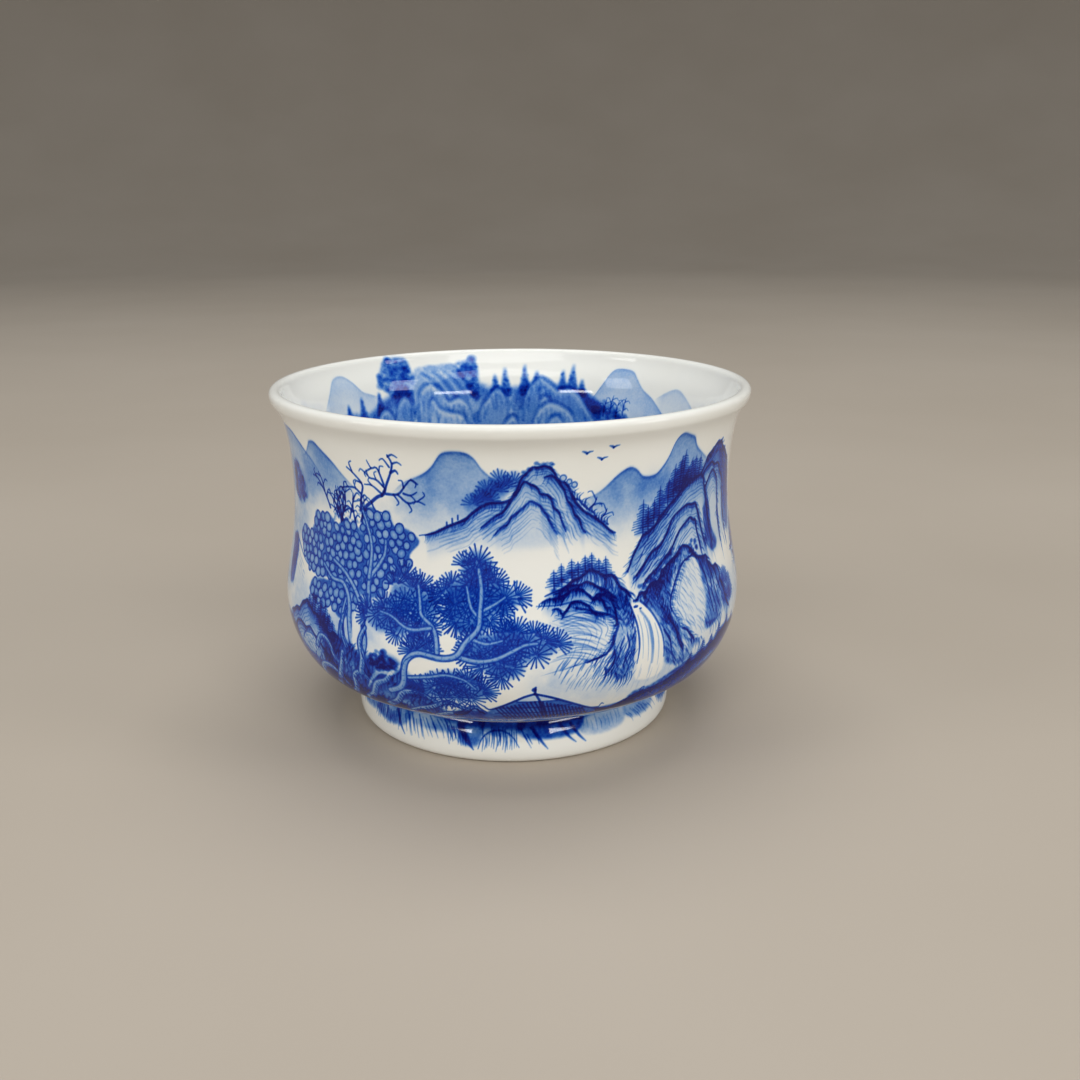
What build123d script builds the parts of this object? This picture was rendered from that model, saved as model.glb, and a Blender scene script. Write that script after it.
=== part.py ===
from build123d import *
from build123d.topology import SkipClean
import os

# A footed porcelain teacup, in millimetres. +Z is up, and the origin is the
# middle of the ring that the cup stands on. The cup is thrown and glazed round,
# so every piece is a section in (radius, height), turned about Z. Each section
# is drawn anticlockwise: the clay is always on the left of its outline.

# Driving dimensions of the glazed cup
rim_radius = 40.0        # widest point of the everted lip
cup_height = 57.6        # table to the crest of the lip
belly_radius = 39.1      # widest point of the low, full belly
belly_height = 23.4
waist_radius = 36.9      # narrowest point, under the lip
waist_height = 43.0
foot_radius = 27.6       # widest point of the splayed foot
foot_height = 6.9        # table to the crisp corner between foot and bowl
foot_neck_radius = 26.5  # radius at that corner
wall_thickness = 2.3     # upper wall, glaze included
glaze = 0.25             # thickness of each coat of glaze
slip = 0.3               # thickness of the clay slip that sticks the foot on

# Lip: a rolled edge, fuller outside than inside
lip_crest = (rim_radius - 1.0, cup_height)
lip_side = (rim_radius, cup_height - 1.1)
lip_inside = (rim_radius - 2.15, cup_height - 1.1)

# Foot ring: it rolls under to a narrow standing face, wiped bare of glaze
stand_outer_radius = foot_radius - 1.4
stand_inner_radius = stand_outer_radius - 1.9
bare_height = 0.45
recess_radius = stand_inner_radius - 0.9
recess_height = foot_height - 0.7
recess_corner = 1.2

# Inside of the bowl
floor_height = 10.2
well_radius = belly_radius - wall_thickness - 0.3
well_curve = 16.0        # how far in from the wall the floor starts to turn up

# Directions in which the outline leaves and meets its named points
up_the_side = (0.15, 1.0)
over_the_crest = (-1.0, 0.0)
into_the_bowl = (-0.35, -1.0)
straight_down = (0.0, -1.0)
up_the_foot = (0.0, 1.0)


def bowl_outside():
    """The corner above the foot, round the belly and waist, to the lip."""
    return Spline(
        (foot_neck_radius, foot_height),
        (31.0, 9.1),
        (34.9, 11.6),
        (37.45, 15.2),
        (38.8, 19.2),
        (belly_radius, belly_height),
        (38.3, 29.0),
        (37.3, 35.0),
        (waist_radius, waist_height),
        (37.25, 48.4),
        (37.75, 51.6),
        (38.6, 54.0),
        (39.5, 55.3),
        lip_side,
        tangents=[(1.75, 1.0), up_the_side],
    )


def lip_outside():
    return Spline(lip_side, lip_crest, tangents=[up_the_side, over_the_crest])


def bowl_inside():
    """Over the lip, down the wall and across the floor to the axis."""
    lip_turn = Spline(lip_crest, lip_inside, tangents=[over_the_crest, into_the_bowl])
    wall = Spline(
        lip_inside,
        (36.2, 53.0),
        (35.2, 48.6),
        (waist_radius - wall_thickness, waist_height),
        (35.0, 35.0),
        (35.9, 29.0),
        (well_radius, belly_height),
        tangents=[into_the_bowl, straight_down],
    )
    well = EllipticalCenterArc(
        (well_radius - well_curve, belly_height),
        well_curve,
        belly_height - floor_height,
        start_angle=0,
        arc_size=-90,
    )
    floor = Line(well @ 1, (0, floor_height))
    return [lip_turn, wall, well, floor]


def recess():
    """The axis to the standing face, along the hollow under the cup."""
    ceiling = Line((0, recess_height), (recess_radius - recess_corner, recess_height))
    corner = TangentArc(
        ceiling @ 1,
        (recess_radius, recess_height - recess_corner),
        tangent=ceiling % 1,
    )
    side = Spline(
        corner @ 1,
        (recess_radius + 0.15, 1.6),
        (stand_inner_radius, 0),
        tangents=[straight_down, (1.0, -0.6)],
    )
    return [ceiling, corner, side]


def foot_outside():
    """The standing face, up the splayed foot to the corner under the bowl."""
    foot_side = (foot_radius, foot_height * 0.33)
    corner = (foot_neck_radius, foot_height)
    roll = Spline((stand_outer_radius, 0), foot_side, tangents=[(1.0, 0.15), up_the_foot])
    flare = Spline(foot_side, corner, tangents=[up_the_foot, (-0.22, 1.0)])
    return [roll, flare]


def under_glaze(edge, samples=25):
    """The same line, one coat of glaze deeper in the clay."""
    points = []
    for i in range(samples):
        t = i / (samples - 1)
        inward = (edge % t).rotate(Axis.Z, 90)
        points.append(edge @ t + inward * glaze)
    return Spline(*points, tangents=[edge % 0, edge % 1])


def section(edges):
    """Closed half section: the edges in order, joined where they leave a gap."""
    outline = []
    for edge, following in zip(edges, edges[1:] + edges[:1]):
        outline.append(edge)
        if (edge @ 1 - following @ 0).length > 1e-6:
            outline.append(Line(edge @ 1, following @ 0))
    return make_face(Wire(outline))


def coat(surface, clay_side):
    """Section of the glaze between a surface and the clay under it."""
    back = [Edge.reversed(edge) for edge in reversed(clay_side)]
    return section(surface + back)


def band(low, high):
    """Every radius of the cup between two heights."""
    width = rim_radius + 5
    return Pos(width / 2, (low + high) / 2) * Rectangle(width, high - low)


def turned(half_section):
    """Solid of revolution of a half section in (radius, height)."""
    return revolve(Plane.XZ * half_section, axis=Axis.Z)


outside = bowl_outside()
lip = lip_outside()
inside = bowl_inside()
under = recess()
foot = foot_outside()

clay_outside = [under_glaze(outside), under_glaze(lip)]
clay_inside = [under_glaze(edge) for edge in inside]
clay_recess = [under_glaze(edge) for edge in under]
clay_foot = [under_glaze(edge) for edge in foot]
clay_corner = [Line(clay_foot[-1] @ 1, clay_outside[0] @ 0)]

bare_band = band(0, bare_height)
glazed_cup = section([outside, lip] + inside + under + foot)
clay = section(clay_outside + clay_inside + clay_recess + clay_foot + clay_corner)

joint_top = recess_height
joint_bottom = recess_height - slip

# Neighbouring curves run smoothly into each other, and SkipClean keeps each of
# them as a face of its own instead of fusing them into one rougher surface.
with SkipClean():
    bare_foot = turned(glazed_cup & bare_band)
    glazed_foot = turned(clay & band(bare_height, joint_bottom))
    pieces = {
        "bowl_body": turned(clay & band(joint_top, cup_height)),
        "foot_joint_slip": turned(clay & band(joint_bottom, joint_top)),
        "foot_ring": glazed_foot + bare_foot,
        "outer_glaze": turned(coat([outside, lip], clay_outside)),
        "inner_glaze": turned(coat(inside, clay_inside)),
        "foot_glaze": turned(coat(foot, clay_foot + clay_corner) - bare_band),
        "recess_glaze": turned(coat(under, clay_recess) - bare_band),
    }

os.makedirs("parts", exist_ok=True)
for name, piece in pieces.items():
    export_step(piece, f"parts/{name}.step")
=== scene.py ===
import math

import bpy
import numpy as np
from mathutils import Matrix, Vector


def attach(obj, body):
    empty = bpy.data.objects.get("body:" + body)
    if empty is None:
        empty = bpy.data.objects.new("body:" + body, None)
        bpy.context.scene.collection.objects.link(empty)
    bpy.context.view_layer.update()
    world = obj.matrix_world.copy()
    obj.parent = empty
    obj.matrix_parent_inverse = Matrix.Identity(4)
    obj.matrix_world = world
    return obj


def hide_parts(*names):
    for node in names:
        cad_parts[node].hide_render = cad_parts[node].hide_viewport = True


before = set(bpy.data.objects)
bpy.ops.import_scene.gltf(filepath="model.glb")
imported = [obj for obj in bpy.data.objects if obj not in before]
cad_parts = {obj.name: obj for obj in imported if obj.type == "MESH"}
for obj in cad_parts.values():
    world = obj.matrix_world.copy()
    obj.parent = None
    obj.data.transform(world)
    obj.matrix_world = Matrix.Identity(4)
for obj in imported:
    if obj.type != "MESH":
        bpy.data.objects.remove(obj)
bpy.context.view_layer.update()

# The teacup's looks. The glaze pieces of the frame are rebuilt as fine meshes that carry a hand-painted
# cobalt landscape, and every piece gets its own node material.
#
# A painting is made on a Canvas, which is a glazed wall unrolled. Places on it are (degrees, height):
# degrees run round the cup from the middle of the side that faces the camera, positive to the right,
# and height is in mm above the table. On the inner wall degrees run from the middle of the far side.
# The number stored at each spot is the amount of cobalt there: 0 is bare white, 1 is a full dark stroke.

# ------------------------------------------------------------------------------------- brushwork

CELL = 0.11           # mm between rows of a canvas
SOFT = 0.13           # mm over which the edge of a stroke fades


def smooth(points, step=0.5):
    """A Catmull-Rom curve through points, in pieces of about step mm."""
    p = np.asarray(points, float)
    if len(p) < 3:
        return p
    ends = np.vstack([2 * p[0] - p[1], p, 2 * p[-1] - p[-2]])
    parts = []
    for a, b, c, d in zip(ends[:-3], ends[1:-2], ends[2:-1], ends[3:]):
        count = max(2, int(math.hypot(*(c - b)) / step) + 1)
        t = np.linspace(0, 1, count, endpoint=False)[:, None]
        curve = 2 * b + (c - a) * t + (2 * a - 5 * b + 4 * c - d) * t**2 + (3 * b - a - 3 * c + d) * t**3
        parts.append(0.5 * curve)
    parts.append(p[-1:])
    return np.vstack(parts)


def blur(mask, size):
    """The mask averaged twice over size mm in both directions."""
    out = np.asarray(mask, float)
    half = int(round(size / CELL / 2))
    if half < 1:
        return out
    span = 2 * half + 1
    for axis in (0, 1, 0, 1):
        pads = [(half + 1, half) if k == axis else (0, 0) for k in (0, 1)]
        total = np.cumsum(np.pad(out, pads, "edge"), axis)
        upper = np.take(total, range(span, total.shape[axis]), axis)
        lower = np.take(total, range(0, total.shape[axis] - span), axis)
        out = (upper - lower) / span
    return out


def contains(outline, x, z):
    """Which of the points x, z lie inside the closed outline."""
    inside = np.zeros(np.broadcast(x, z).shape, bool)
    for p, q in zip(outline, np.roll(outline, -1, 0)):
        if p[1] != q[1]:
            crosses = (p[1] > z) != (q[1] > z)
            inside ^= crosses & (x < p[0] + (z - p[1]) * (q[0] - p[0]) / (q[1] - p[1]))
    return inside


class Canvas:
    """The cobalt on one unrolled wall. Column 0 is 0 degrees, and the columns join up round the cup."""

    def __init__(self, low, high, mm_per_degree, seed):
        self.low = low
        self.scale = mm_per_degree
        self.columns = round(360 * mm_per_degree / CELL)
        self.pitch = 360 * mm_per_degree / self.columns
        self.rows = int((high - low) / CELL) + 1
        self.ink = np.zeros((self.rows, self.columns))
        self.rng = np.random.default_rng(seed)
        self.origin = (0.0, 0.0)
        self.patches = self.cloud(2.2)

    def cloud(self, size):
        """Smooth random patches of about size mm and finer, from about -1 to 1."""
        total = np.zeros_like(self.ink)
        for octave in range(4):
            across = max(2, int(self.columns * self.pitch / size * 2**octave))
            up = int(self.rows * CELL / size * 2**octave) + 3
            grid = self.rng.uniform(-1, 1, (up, across))
            x = np.arange(self.columns) / self.columns * across
            z = np.arange(self.rows) / self.rows * (up - 2)
            i, j = x.astype(int), z.astype(int)
            fx, fz = x - i, (z - j)[:, None]
            fx, fz = fx * fx * (3 - 2 * fx), fz * fz * (3 - 2 * fz)
            right = (i + 1) % across
            below = grid[j][:, i] * (1 - fx) + grid[j][:, right] * fx
            above = grid[j + 1][:, i] * (1 - fx) + grid[j + 1][:, right] * fx
            total += (below * (1 - fz) + above * fz) * 0.62**octave
        return total / 1.3

    def mm(self, points):
        """Points in mm, moved round to where the canvas's origin has been put."""
        return (np.asarray(points, float) + self.origin) * (self.scale, 1)

    def places(self, path):
        """The (degrees, height) places of points in mm."""
        return np.asarray(path, float) / (self.scale, 1) - self.origin

    def window(self, path, reach):
        """The rows and columns within reach of path, and their places in mm."""
        left, low = path.min(0) - reach
        right, high = path.max(0) + reach
        cols = np.arange(math.floor(left / self.pitch), math.ceil(right / self.pitch) + 1)
        first = max(0, math.floor((low - self.low) / CELL))
        last = min(self.rows - 1, math.ceil((high - self.low) / CELL))
        rows = np.arange(first, last + 1)
        return rows, cols, cols * self.pitch, self.low + rows * CELL

    def lay(self, rows, cols, cover, ink, mode="add"):
        """Puts ink down where cover says: add darkens, lift washes off, over repaints, and deepen
        darkens only what is paler than the ink, so that crossing lines don't pile up."""
        spot = np.ix_(rows, cols % self.columns)
        if mode == "add":
            self.ink[spot] += cover * ink
        elif mode == "lift":
            self.ink[spot] *= 1 - cover * ink
        elif mode == "deepen":
            self.ink[spot] += cover * np.maximum(ink - self.ink[spot], 0)
        else:
            self.ink[spot] += cover * (ink - self.ink[spot])

    def line(self, path, width, ink, taper=(0.45, 1, 0.3), mode="add", soft=SOFT):
        """A brush line along a path in mm, whose width changes from start to middle to end."""
        rows, cols, x, z = self.window(path, width / 2 + soft)
        if len(rows) == 0:
            return
        cover = np.zeros((len(rows), len(cols)))
        widths = width * np.interp(np.linspace(0, 1, len(path)), np.linspace(0, 1, len(taper)), taper)
        for p, q, start, end in zip(path[:-1], path[1:], widths[:-1], widths[1:]):
            reach = max(start, end) / 2 + soft
            r0, r1 = np.searchsorted(z, (min(p[1], q[1]) - reach, max(p[1], q[1]) + reach))
            c0, c1 = np.searchsorted(x, (min(p[0], q[0]) - reach, max(p[0], q[0]) + reach))
            dx, dz = q - p
            rx, rz = x[None, c0:c1] - p[0], z[r0:r1, None] - p[1]
            along = np.clip((rx * dx + rz * dz) / max(dx * dx + dz * dz, 1e-9), 0, 1)
            away = np.hypot(rx - along * dx, rz - along * dz)
            spot = np.clip(((start + (end - start) * along) / 2 - away) / soft + 0.5, 0, 1)
            np.maximum(cover[r0:r1, c0:c1], spot, out=cover[r0:r1, c0:c1])
        self.lay(rows, cols, cover, ink, mode)

    def stroke(self, points, width=0.3, ink=0.8, taper=(0.45, 1, 0.3), mode="add", soft=SOFT):
        """A brush stroke through (degrees, height) points."""
        self.line(smooth(self.mm(points)), width, ink, taper, mode, soft)

    def outline(self, points):
        """The closed curve through points, in mm."""
        loop = list(points) + [points[0]]
        return smooth(self.mm(loop))[:-1]

    def fill(self, points, ink, mode="add", soft=0.3, pool=0.0, mottle=0.3):
        """A wash inside a closed outline. pool is the darker tide line along its edge."""
        edge = self.outline(points)
        rows, cols, x, z = self.window(edge, 2 * soft)
        inside = contains(edge, x[None, :], z[:, None])
        cover = blur(inside, soft)
        if pool:
            cover *= 1 + 2 * pool * (1 - blur(inside, 1.2))
        if mottle:
            cover *= 1 + mottle * self.patches[np.ix_(rows, cols % self.columns)]
        self.lay(rows, cols, np.clip(cover, 0, None if mode == "add" else 1), ink, mode)

    def wipe(self, points, ink, soft):
        """Takes an outline back to nearly bare white."""
        self.fill(points, ink, "over", soft, mottle=0)

    def ridge(self, points, ink=0.3, depth=5.0, rim=0.3, rim_width=0.35, ends=2.0, mist=None):
        """A wash that hangs from a skyline and fades downwards, with a darker line along the top.
        mist is the height where the wash has faded right out."""
        path = smooth(self.mm(points))
        below = path - (0, 3 * depth)
        rows, cols, x, z = self.window(np.vstack([path, below]), 0.5)
        top = np.interp(x, np.maximum.accumulate(path[:, 0]), path[:, 1])
        deep = top[None, :] - z[:, None]
        wash = np.clip(deep / SOFT + 0.5, 0, 1) * np.exp(-np.clip(deep, 0, None) / depth)
        wash *= 1 + 0.18 * self.patches[np.ix_(rows, cols % self.columns)]
        line = np.exp(-(((deep - rim_width / 2) / rim_width) ** 2))
        side = np.clip(np.minimum(x - path[0, 0], path[-1, 0] - x) / ends, 0, 1)
        wash *= np.clip(3 - deep / depth, 0, 1)
        if mist is not None:
            wash *= np.clip((z - mist) / 5, 0, 1)[:, None]
        self.lay(rows, cols, (ink * wash + rim * line) * side, 1)

    def folds(self, points, count=8, drift=(0.0, -0.5), ink=0.55, width=0.17, fade=0.75, length=(0.2, 0.6)):
        """Thin broken lines that repeat an outline, each one drift mm further on and paler."""
        path = smooth(self.mm(points), 0.35)
        for k in range(1, count + 1):
            start = self.rng.uniform(0, 0.2)
            while start < 0.93:
                end = min(1, start + self.rng.uniform(*length))
                part = path[int(start * len(path)):int(end * len(path)) + 1]
                if len(part) > 1:
                    wave = np.sin(np.linspace(0, 5, len(part)) + self.rng.uniform(0, 6)) * 0.07
                    moved = part + np.array(drift) * (k + self.rng.normal(0, 0.12))
                    moved[:, 1] += wave
                    strength = ink * (1 - fade * k / count) * self.rng.uniform(0.65, 1.15)
                    self.line(moved, width * self.rng.uniform(0.8, 1.3), strength, (0.5, 1, 0.2))
                start = end + self.rng.uniform(0.02, 0.12)

    def craggy(self, points, lump=1.5, size=0.22):
        """The same curve with small random lumps, as a broken rock edge has."""
        path = smooth(self.mm(points), lump)
        path[1:-1] += self.rng.normal(0, size, (len(path) - 2, 2)) * (0.5, 1)
        return self.places(path)

    def comb(self, points, length=1.6, lean=None, gap=0.34, ink=0.6, width=0.17, bend=0.12):
        """Short strokes that hang from a curve and thin out: the shaded side of a fold.
        Without a lean, each stroke falls the way water would run off the curve."""
        path = smooth(self.mm(points), gap)
        for i in range(len(path) - 1):
            way = path[i + 1] - path[i]
            if lean is None:
                slope = np.clip(way[1] / (abs(way[0]) + 1e-6) * np.sign(way[0]), -1.6, 1.6)
                angle = math.atan2(-1, -0.75 * slope)
            else:
                angle = math.radians(lean)
            angle += self.rng.normal(0, 0.1)
            down = np.array([math.cos(angle), math.sin(angle)])
            reach = length * self.rng.uniform(0.45, 1.2)
            start = path[i] + self.rng.normal(0, 0.08, 2)
            middle = start + reach * (0.5 * down + bend * np.array([-down[1], down[0]]))
            strength = ink * self.rng.uniform(0.7, 1.15)
            self.line(smooth([start, middle, start + reach * down]), width, strength, (1.2, 0.9, 0.1))

    def hatch(self, points, lean, gap=0.5, length=2.0, ink=0.5, width=0.17, bend=0.0, fade=(1, 1)):
        """Short strokes that lean at an angle, inside a closed outline. fade is the ink at top and bottom."""
        edge = self.outline(points)
        (left, low), (right, high) = edge.min(0), edge.max(0)
        across, up = math.cos(math.radians(lean)), math.sin(math.radians(lean))
        reach = math.hypot(right - left, high - low) / 2
        mid = np.array([(left + right) / 2, (low + high) / 2])
        for s in np.arange(-reach, reach, gap):
            for t in np.arange(-reach, reach, length * 0.9):
                s2 = s + self.rng.normal(0, gap * 0.25)
                t2 = t + self.rng.uniform(-0.5, 0.5) * length
                centre = mid + (t2 * across - s2 * up, t2 * up + s2 * across)
                if not contains(edge, centre[0], centre[1]):
                    continue
                half = length * self.rng.uniform(0.3, 0.6)
                sag = bend * half
                path = np.array([
                    centre - (half * across, half * up),
                    centre + (-sag * up, sag * across),
                    centre + (half * across, half * up),
                ])
                depth = (high - centre[1]) / (high - low)
                strength = ink * (fade[0] + (fade[1] - fade[0]) * depth) * self.rng.uniform(0.6, 1.2)
                self.line(smooth(path, 0.6), width * self.rng.uniform(0.8, 1.3), strength, (0.4, 1, 0.3))

    def scattered(self, points, up, across, jitter, inset=0.0, stagger=0.0):
        """Spots in mm inside a closed outline: shaken rows, every other one shifted by stagger."""
        edge = self.outline(points)
        (left, low), (right, high) = edge.min(0), edge.max(0)
        for row, z in enumerate(np.arange(low + inset, high - inset / 3, up), 1):
            for x in np.arange(left + inset + (row % 2) * stagger, right, across):
                px, pz = x + self.rng.normal(0, jitter[0]), z + self.rng.normal(0, jitter[1])
                if contains(edge, px, pz):
                    yield px, pz

    def dab(self, place, radius, ink, mode="add", soft=SOFT, squash=1.0, tilt=0.0):
        """A round or flattened touch of the brush. tilt turns the flattened one, in radians."""
        centre = self.mm([place])
        rows, cols, x, z = self.window(centre, radius + soft)
        dx, dz = x[None, :] - centre[0, 0], z[:, None] - centre[0, 1]
        long = dx * math.cos(tilt) + dz * math.sin(tilt)
        short = (dz * math.cos(tilt) - dx * math.sin(tilt)) / squash
        away = np.hypot(long, short)
        self.lay(rows, cols, np.clip((radius - away) / soft + 0.5, 0, 1), ink, mode)


# ---------------------------------------------------------------------------------------- motifs

LEAF_SPACING = 1.56   # mm between the round leaves of the old tree


def fir(c, a, z, height, ink=0.8):
    """A far fir: a soft pointed wash, a stem and close level boughs that widen downwards."""
    half = (0.45 + 0.16 * height) / c.scale
    c.fill([(a - half, z), (a - 0.4 * half, z + 0.6 * height), (a, z + height),
            (a + 0.4 * half, z + 0.6 * height), (a + half, z)], 0.24 * ink, soft=0.4)
    c.stroke([(a, z), (a, z + height)], 0.22, ink, (1, 0.8, 0.4))
    for share in np.arange(0.16, 1, 0.4 / height):
        y = z + height * (1 - 0.95 * share)
        reach = half * (0.25 + 1.1 * min(1, 1.3 * share)) * c.rng.uniform(0.75, 1.2)
        c.stroke([(a - reach, y - 0.14), (a, y + 0.06), (a + reach, y - 0.14)], 0.2, ink * 0.8, (0.6, 1, 0.6))


def firs(c, slope, count, height, ink=0.8):
    """A stand of firs along a slope."""
    path = smooth(slope)
    for k in range(count):
        a, z = path[int((k + 0.5) / count * len(path))]
        fir(c, a + c.rng.normal(0, 0.2), z, height * c.rng.uniform(0.65, 1.15), ink)


def fan(c, place, radius, start=0, end=360, ink=0.5, wash=0.2, gap=0.55):
    """Pine needles that spring from one point, over a soft wash. Angles turn left from the right."""
    a, z = place
    turn = math.radians(end - start)
    middle = math.radians((start + end) / 2)
    shift = 0.35 * radius * (1 - (end - start) / 360)
    c.dab((a + shift * math.cos(middle) / c.scale, z + shift * math.sin(middle)), radius * 0.75, wash,
          soft=0.9)
    count = max(5, int(turn * radius / gap))
    for k in range(count):
        angle = math.radians(start) + turn * (k + 0.5) / count + c.rng.normal(0, 0.03)
        far = radius * c.rng.uniform(0.88, 1.08)
        near = radius * c.rng.uniform(0.1, 0.25)
        heading = np.array([math.cos(angle), math.sin(angle)])
        path = c.mm([place]) + np.outer([near, far], heading)
        c.line(path, 0.165, ink * c.rng.uniform(0.85, 1.15), (0.7, 0.85, 1.2), "deepen", 0.11)


def crown(c, points):
    """A pine crown: a soft wash, and overlapping fans of needles that face outwards, closest at the rim."""
    c.fill(points, 0.46, soft=0.6, mottle=0.6)
    edge = c.outline(points)
    middle = edge.mean(0)
    for px, pz in c.scattered(points, 1.65, 2.2, (0.3, 0.25), 0.3, 1.1):
        turn = math.atan2(pz - middle[1] + 2.5, px - middle[0])
        inside = contains(edge, px + 1.6 * math.cos(turn), pz + 1.6 * math.sin(turn))
        half_turn, gap = (170, 0.85) if inside else (85, 0.52)
        turn = math.degrees(turn)
        radius = 2.7 * c.rng.uniform(0.75, 1)
        fan(c, c.places((px, pz)), radius, turn - half_turn, turn + half_turn, 1.1, 0.03, gap)


def trunk(c, points, width):
    """A trunk or bough drawn as two dark edges round a paler body, with a lit side and bark marks."""
    c.stroke(points, width + 0.36, 1.0, (1, 0.9, 0.7), "over")
    c.stroke(points, width, 0.36, (1, 0.8, 0.5), "over", 0.2)
    path = smooth(c.mm(points), 0.6)
    c.line(path + (-0.12 * width, 0.1 * width), 0.4 * width, 0.35, (0.7, 1, 0.5), "lift", 0.3)
    for k in range(1, len(path) - 1, 2):
        c.line(path[k] + c.rng.normal(0, width / 5, (2, 2)), 0.14, 0.45)


def twig(c, points, width=0.3, ink=0.9, buds=0):
    """A bare twig, with short curled side shoots."""
    c.stroke(points, 0.85 * width, ink, (1.1, 0.8, 0.45))
    path = smooth(c.mm(points))
    for k in range(buds):
        i = int((k + 0.9) / (buds + 0.4) * (len(path) - 1))
        heading = path[min(i + 1, len(path) - 1)] - path[max(i - 1, 0)]
        side = 1 if k % 2 else -1
        angle = math.atan2(heading[1], heading[0]) + side * c.rng.uniform(0.5, 1.0)
        reach = c.rng.uniform(0.9, 1.7)
        tip = path[i] + reach * np.array([math.cos(angle), math.sin(angle)])
        hook = tip + 0.6 * np.array([math.cos(angle + 1.3 * side), math.sin(angle + 1.3 * side)])
        c.line(smooth([path[i], tip, hook], 0.3), width * 0.6, ink, (1, 0.8, 0.5))


def pebbles(c, points):
    """A tree crown of oval leaves: mid-blue bodies in dark outlines, pale in the middle, with dark gaps."""
    c.fill(points, 0.7, "over", mottle=0.4)
    for spot in c.scattered(points, LEAF_SPACING * 0.8, LEAF_SPACING, (0.18, 0.15), 0, LEAF_SPACING / 2):
        size = 0.74 * c.rng.uniform(0.82, 1.14)
        place = c.places(spot)
        shape = {"squash": c.rng.uniform(0.76, 0.94), "tilt": c.rng.uniform(0.7, 2.4)}
        c.dab(place, size + 0.12, 1.2, "over", soft=0.12, **shape)
        c.dab(place, size - 0.07, c.rng.uniform(0.36, 0.56), "over", soft=0.14, **shape)
        c.dab(place, 0.5 * size, 0.42, "lift", soft=0.6, **shape)


def cloud_of_leaves(c, places, size, ink):
    """A soft dark mass of foliage, with ragged darker touches inside it."""
    c.fill(places, ink, soft=size, mottle=0.7)
    scrub(c, places, size * 0.7, ink * 0.45, size)


def scrub(c, points, size=0.45, ink=0.7, gap=0.75, soft=0.25):
    """Dense small touches: bushes and dark undergrowth."""
    for spot in c.scattered(points, gap, gap, (gap / 3, gap / 3)):
        radius = size * c.rng.uniform(0.6, 1.2)
        c.dab(c.places(spot), radius, ink * c.rng.uniform(0.5, 1.1), "add", soft, 0.8)


def rock(c, points, ink, body, lean, shade):
    """A craggy boulder: a pale top, a broken outline, hatched flanks and a dark foot."""
    c.fill(points, body, "over", soft=0.25, mottle=0.5)
    edge = c.outline(points)
    rows, cols, x, z = c.window(edge, 0.3)
    inside = blur(contains(edge, x[None, :], z[:, None]), 0.3)
    deep = (edge[:, 1].max() - z[:, None]) / np.ptp(edge[:, 1])
    patches = 1 + 0.5 * c.patches[np.ix_(rows, cols % c.columns)]
    c.lay(rows, cols, inside * np.clip(deep, 0, 1) ** 1.3 * patches, shade)
    c.hatch(points, lean, 0.5, 1.9, ink * 0.7, 0.2, 0.2, (0.5, 1.2))
    crest = list(points)[:len(points) // 2 + 1]
    c.folds(crest, 2, (0.35, -0.7), ink * 0.7, 0.22, 0.4)
    for start in range(0, len(points)):
        pair = [points[start], points[(start + 1) % len(points)]]
        middle = np.mean(pair, 0) + c.rng.normal(0, 0.25, 2)
        c.stroke([pair[0], tuple(middle), pair[1]], c.rng.uniform(0.25, 0.5), ink, (0.4, 1, 0.5))


def crag(c, line, low, wash=0.45, depth=1.5, edge=0.85, count=5, drift=(0.1, -0.6), tone=1.0):
    """One fold of rock. It hides what is behind it down to the height low, is dark under its crest,
    and carries thin lines that follow the crest and short ones that hang from it. wash is the ink
    under the crest, which reaches depth mm down, edge is the crest's own ink, and each of the count
    lines lies drift mm beyond the last. tone strengthens all these lines."""
    line = c.craggy(line, 1.7, 0.18)
    hidden = c.mm(list(line) + [(line[-1][0], low), (line[0][0], low)])
    rows, cols, x, z = c.window(hidden, 0.4)
    cover = blur(contains(hidden, x[None, :], z[:, None]), 0.25)
    cover *= np.clip((z - low - c.origin[1]) / 3, 0, 1)[:, None]
    cover *= np.clip(np.minimum(x - x[0], x[-1] - x) / 2.5, 0, 1)
    c.lay(rows, cols, cover, 0.1, "over")
    c.ridge(line, wash, depth, 0.35, 0.3, ends=0.8)
    c.folds(line, count, drift, 0.62 * tone, 0.17, 0.6)
    c.comb(line, 1.5, ink=0.42 * tone, width=0.16)
    c.stroke(line, 0.34, edge, (0.5, 1.1, 0.7, 1.2, 0.6))
    return line


# ------------------------------------------------------------------------- the landscape outside

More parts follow.
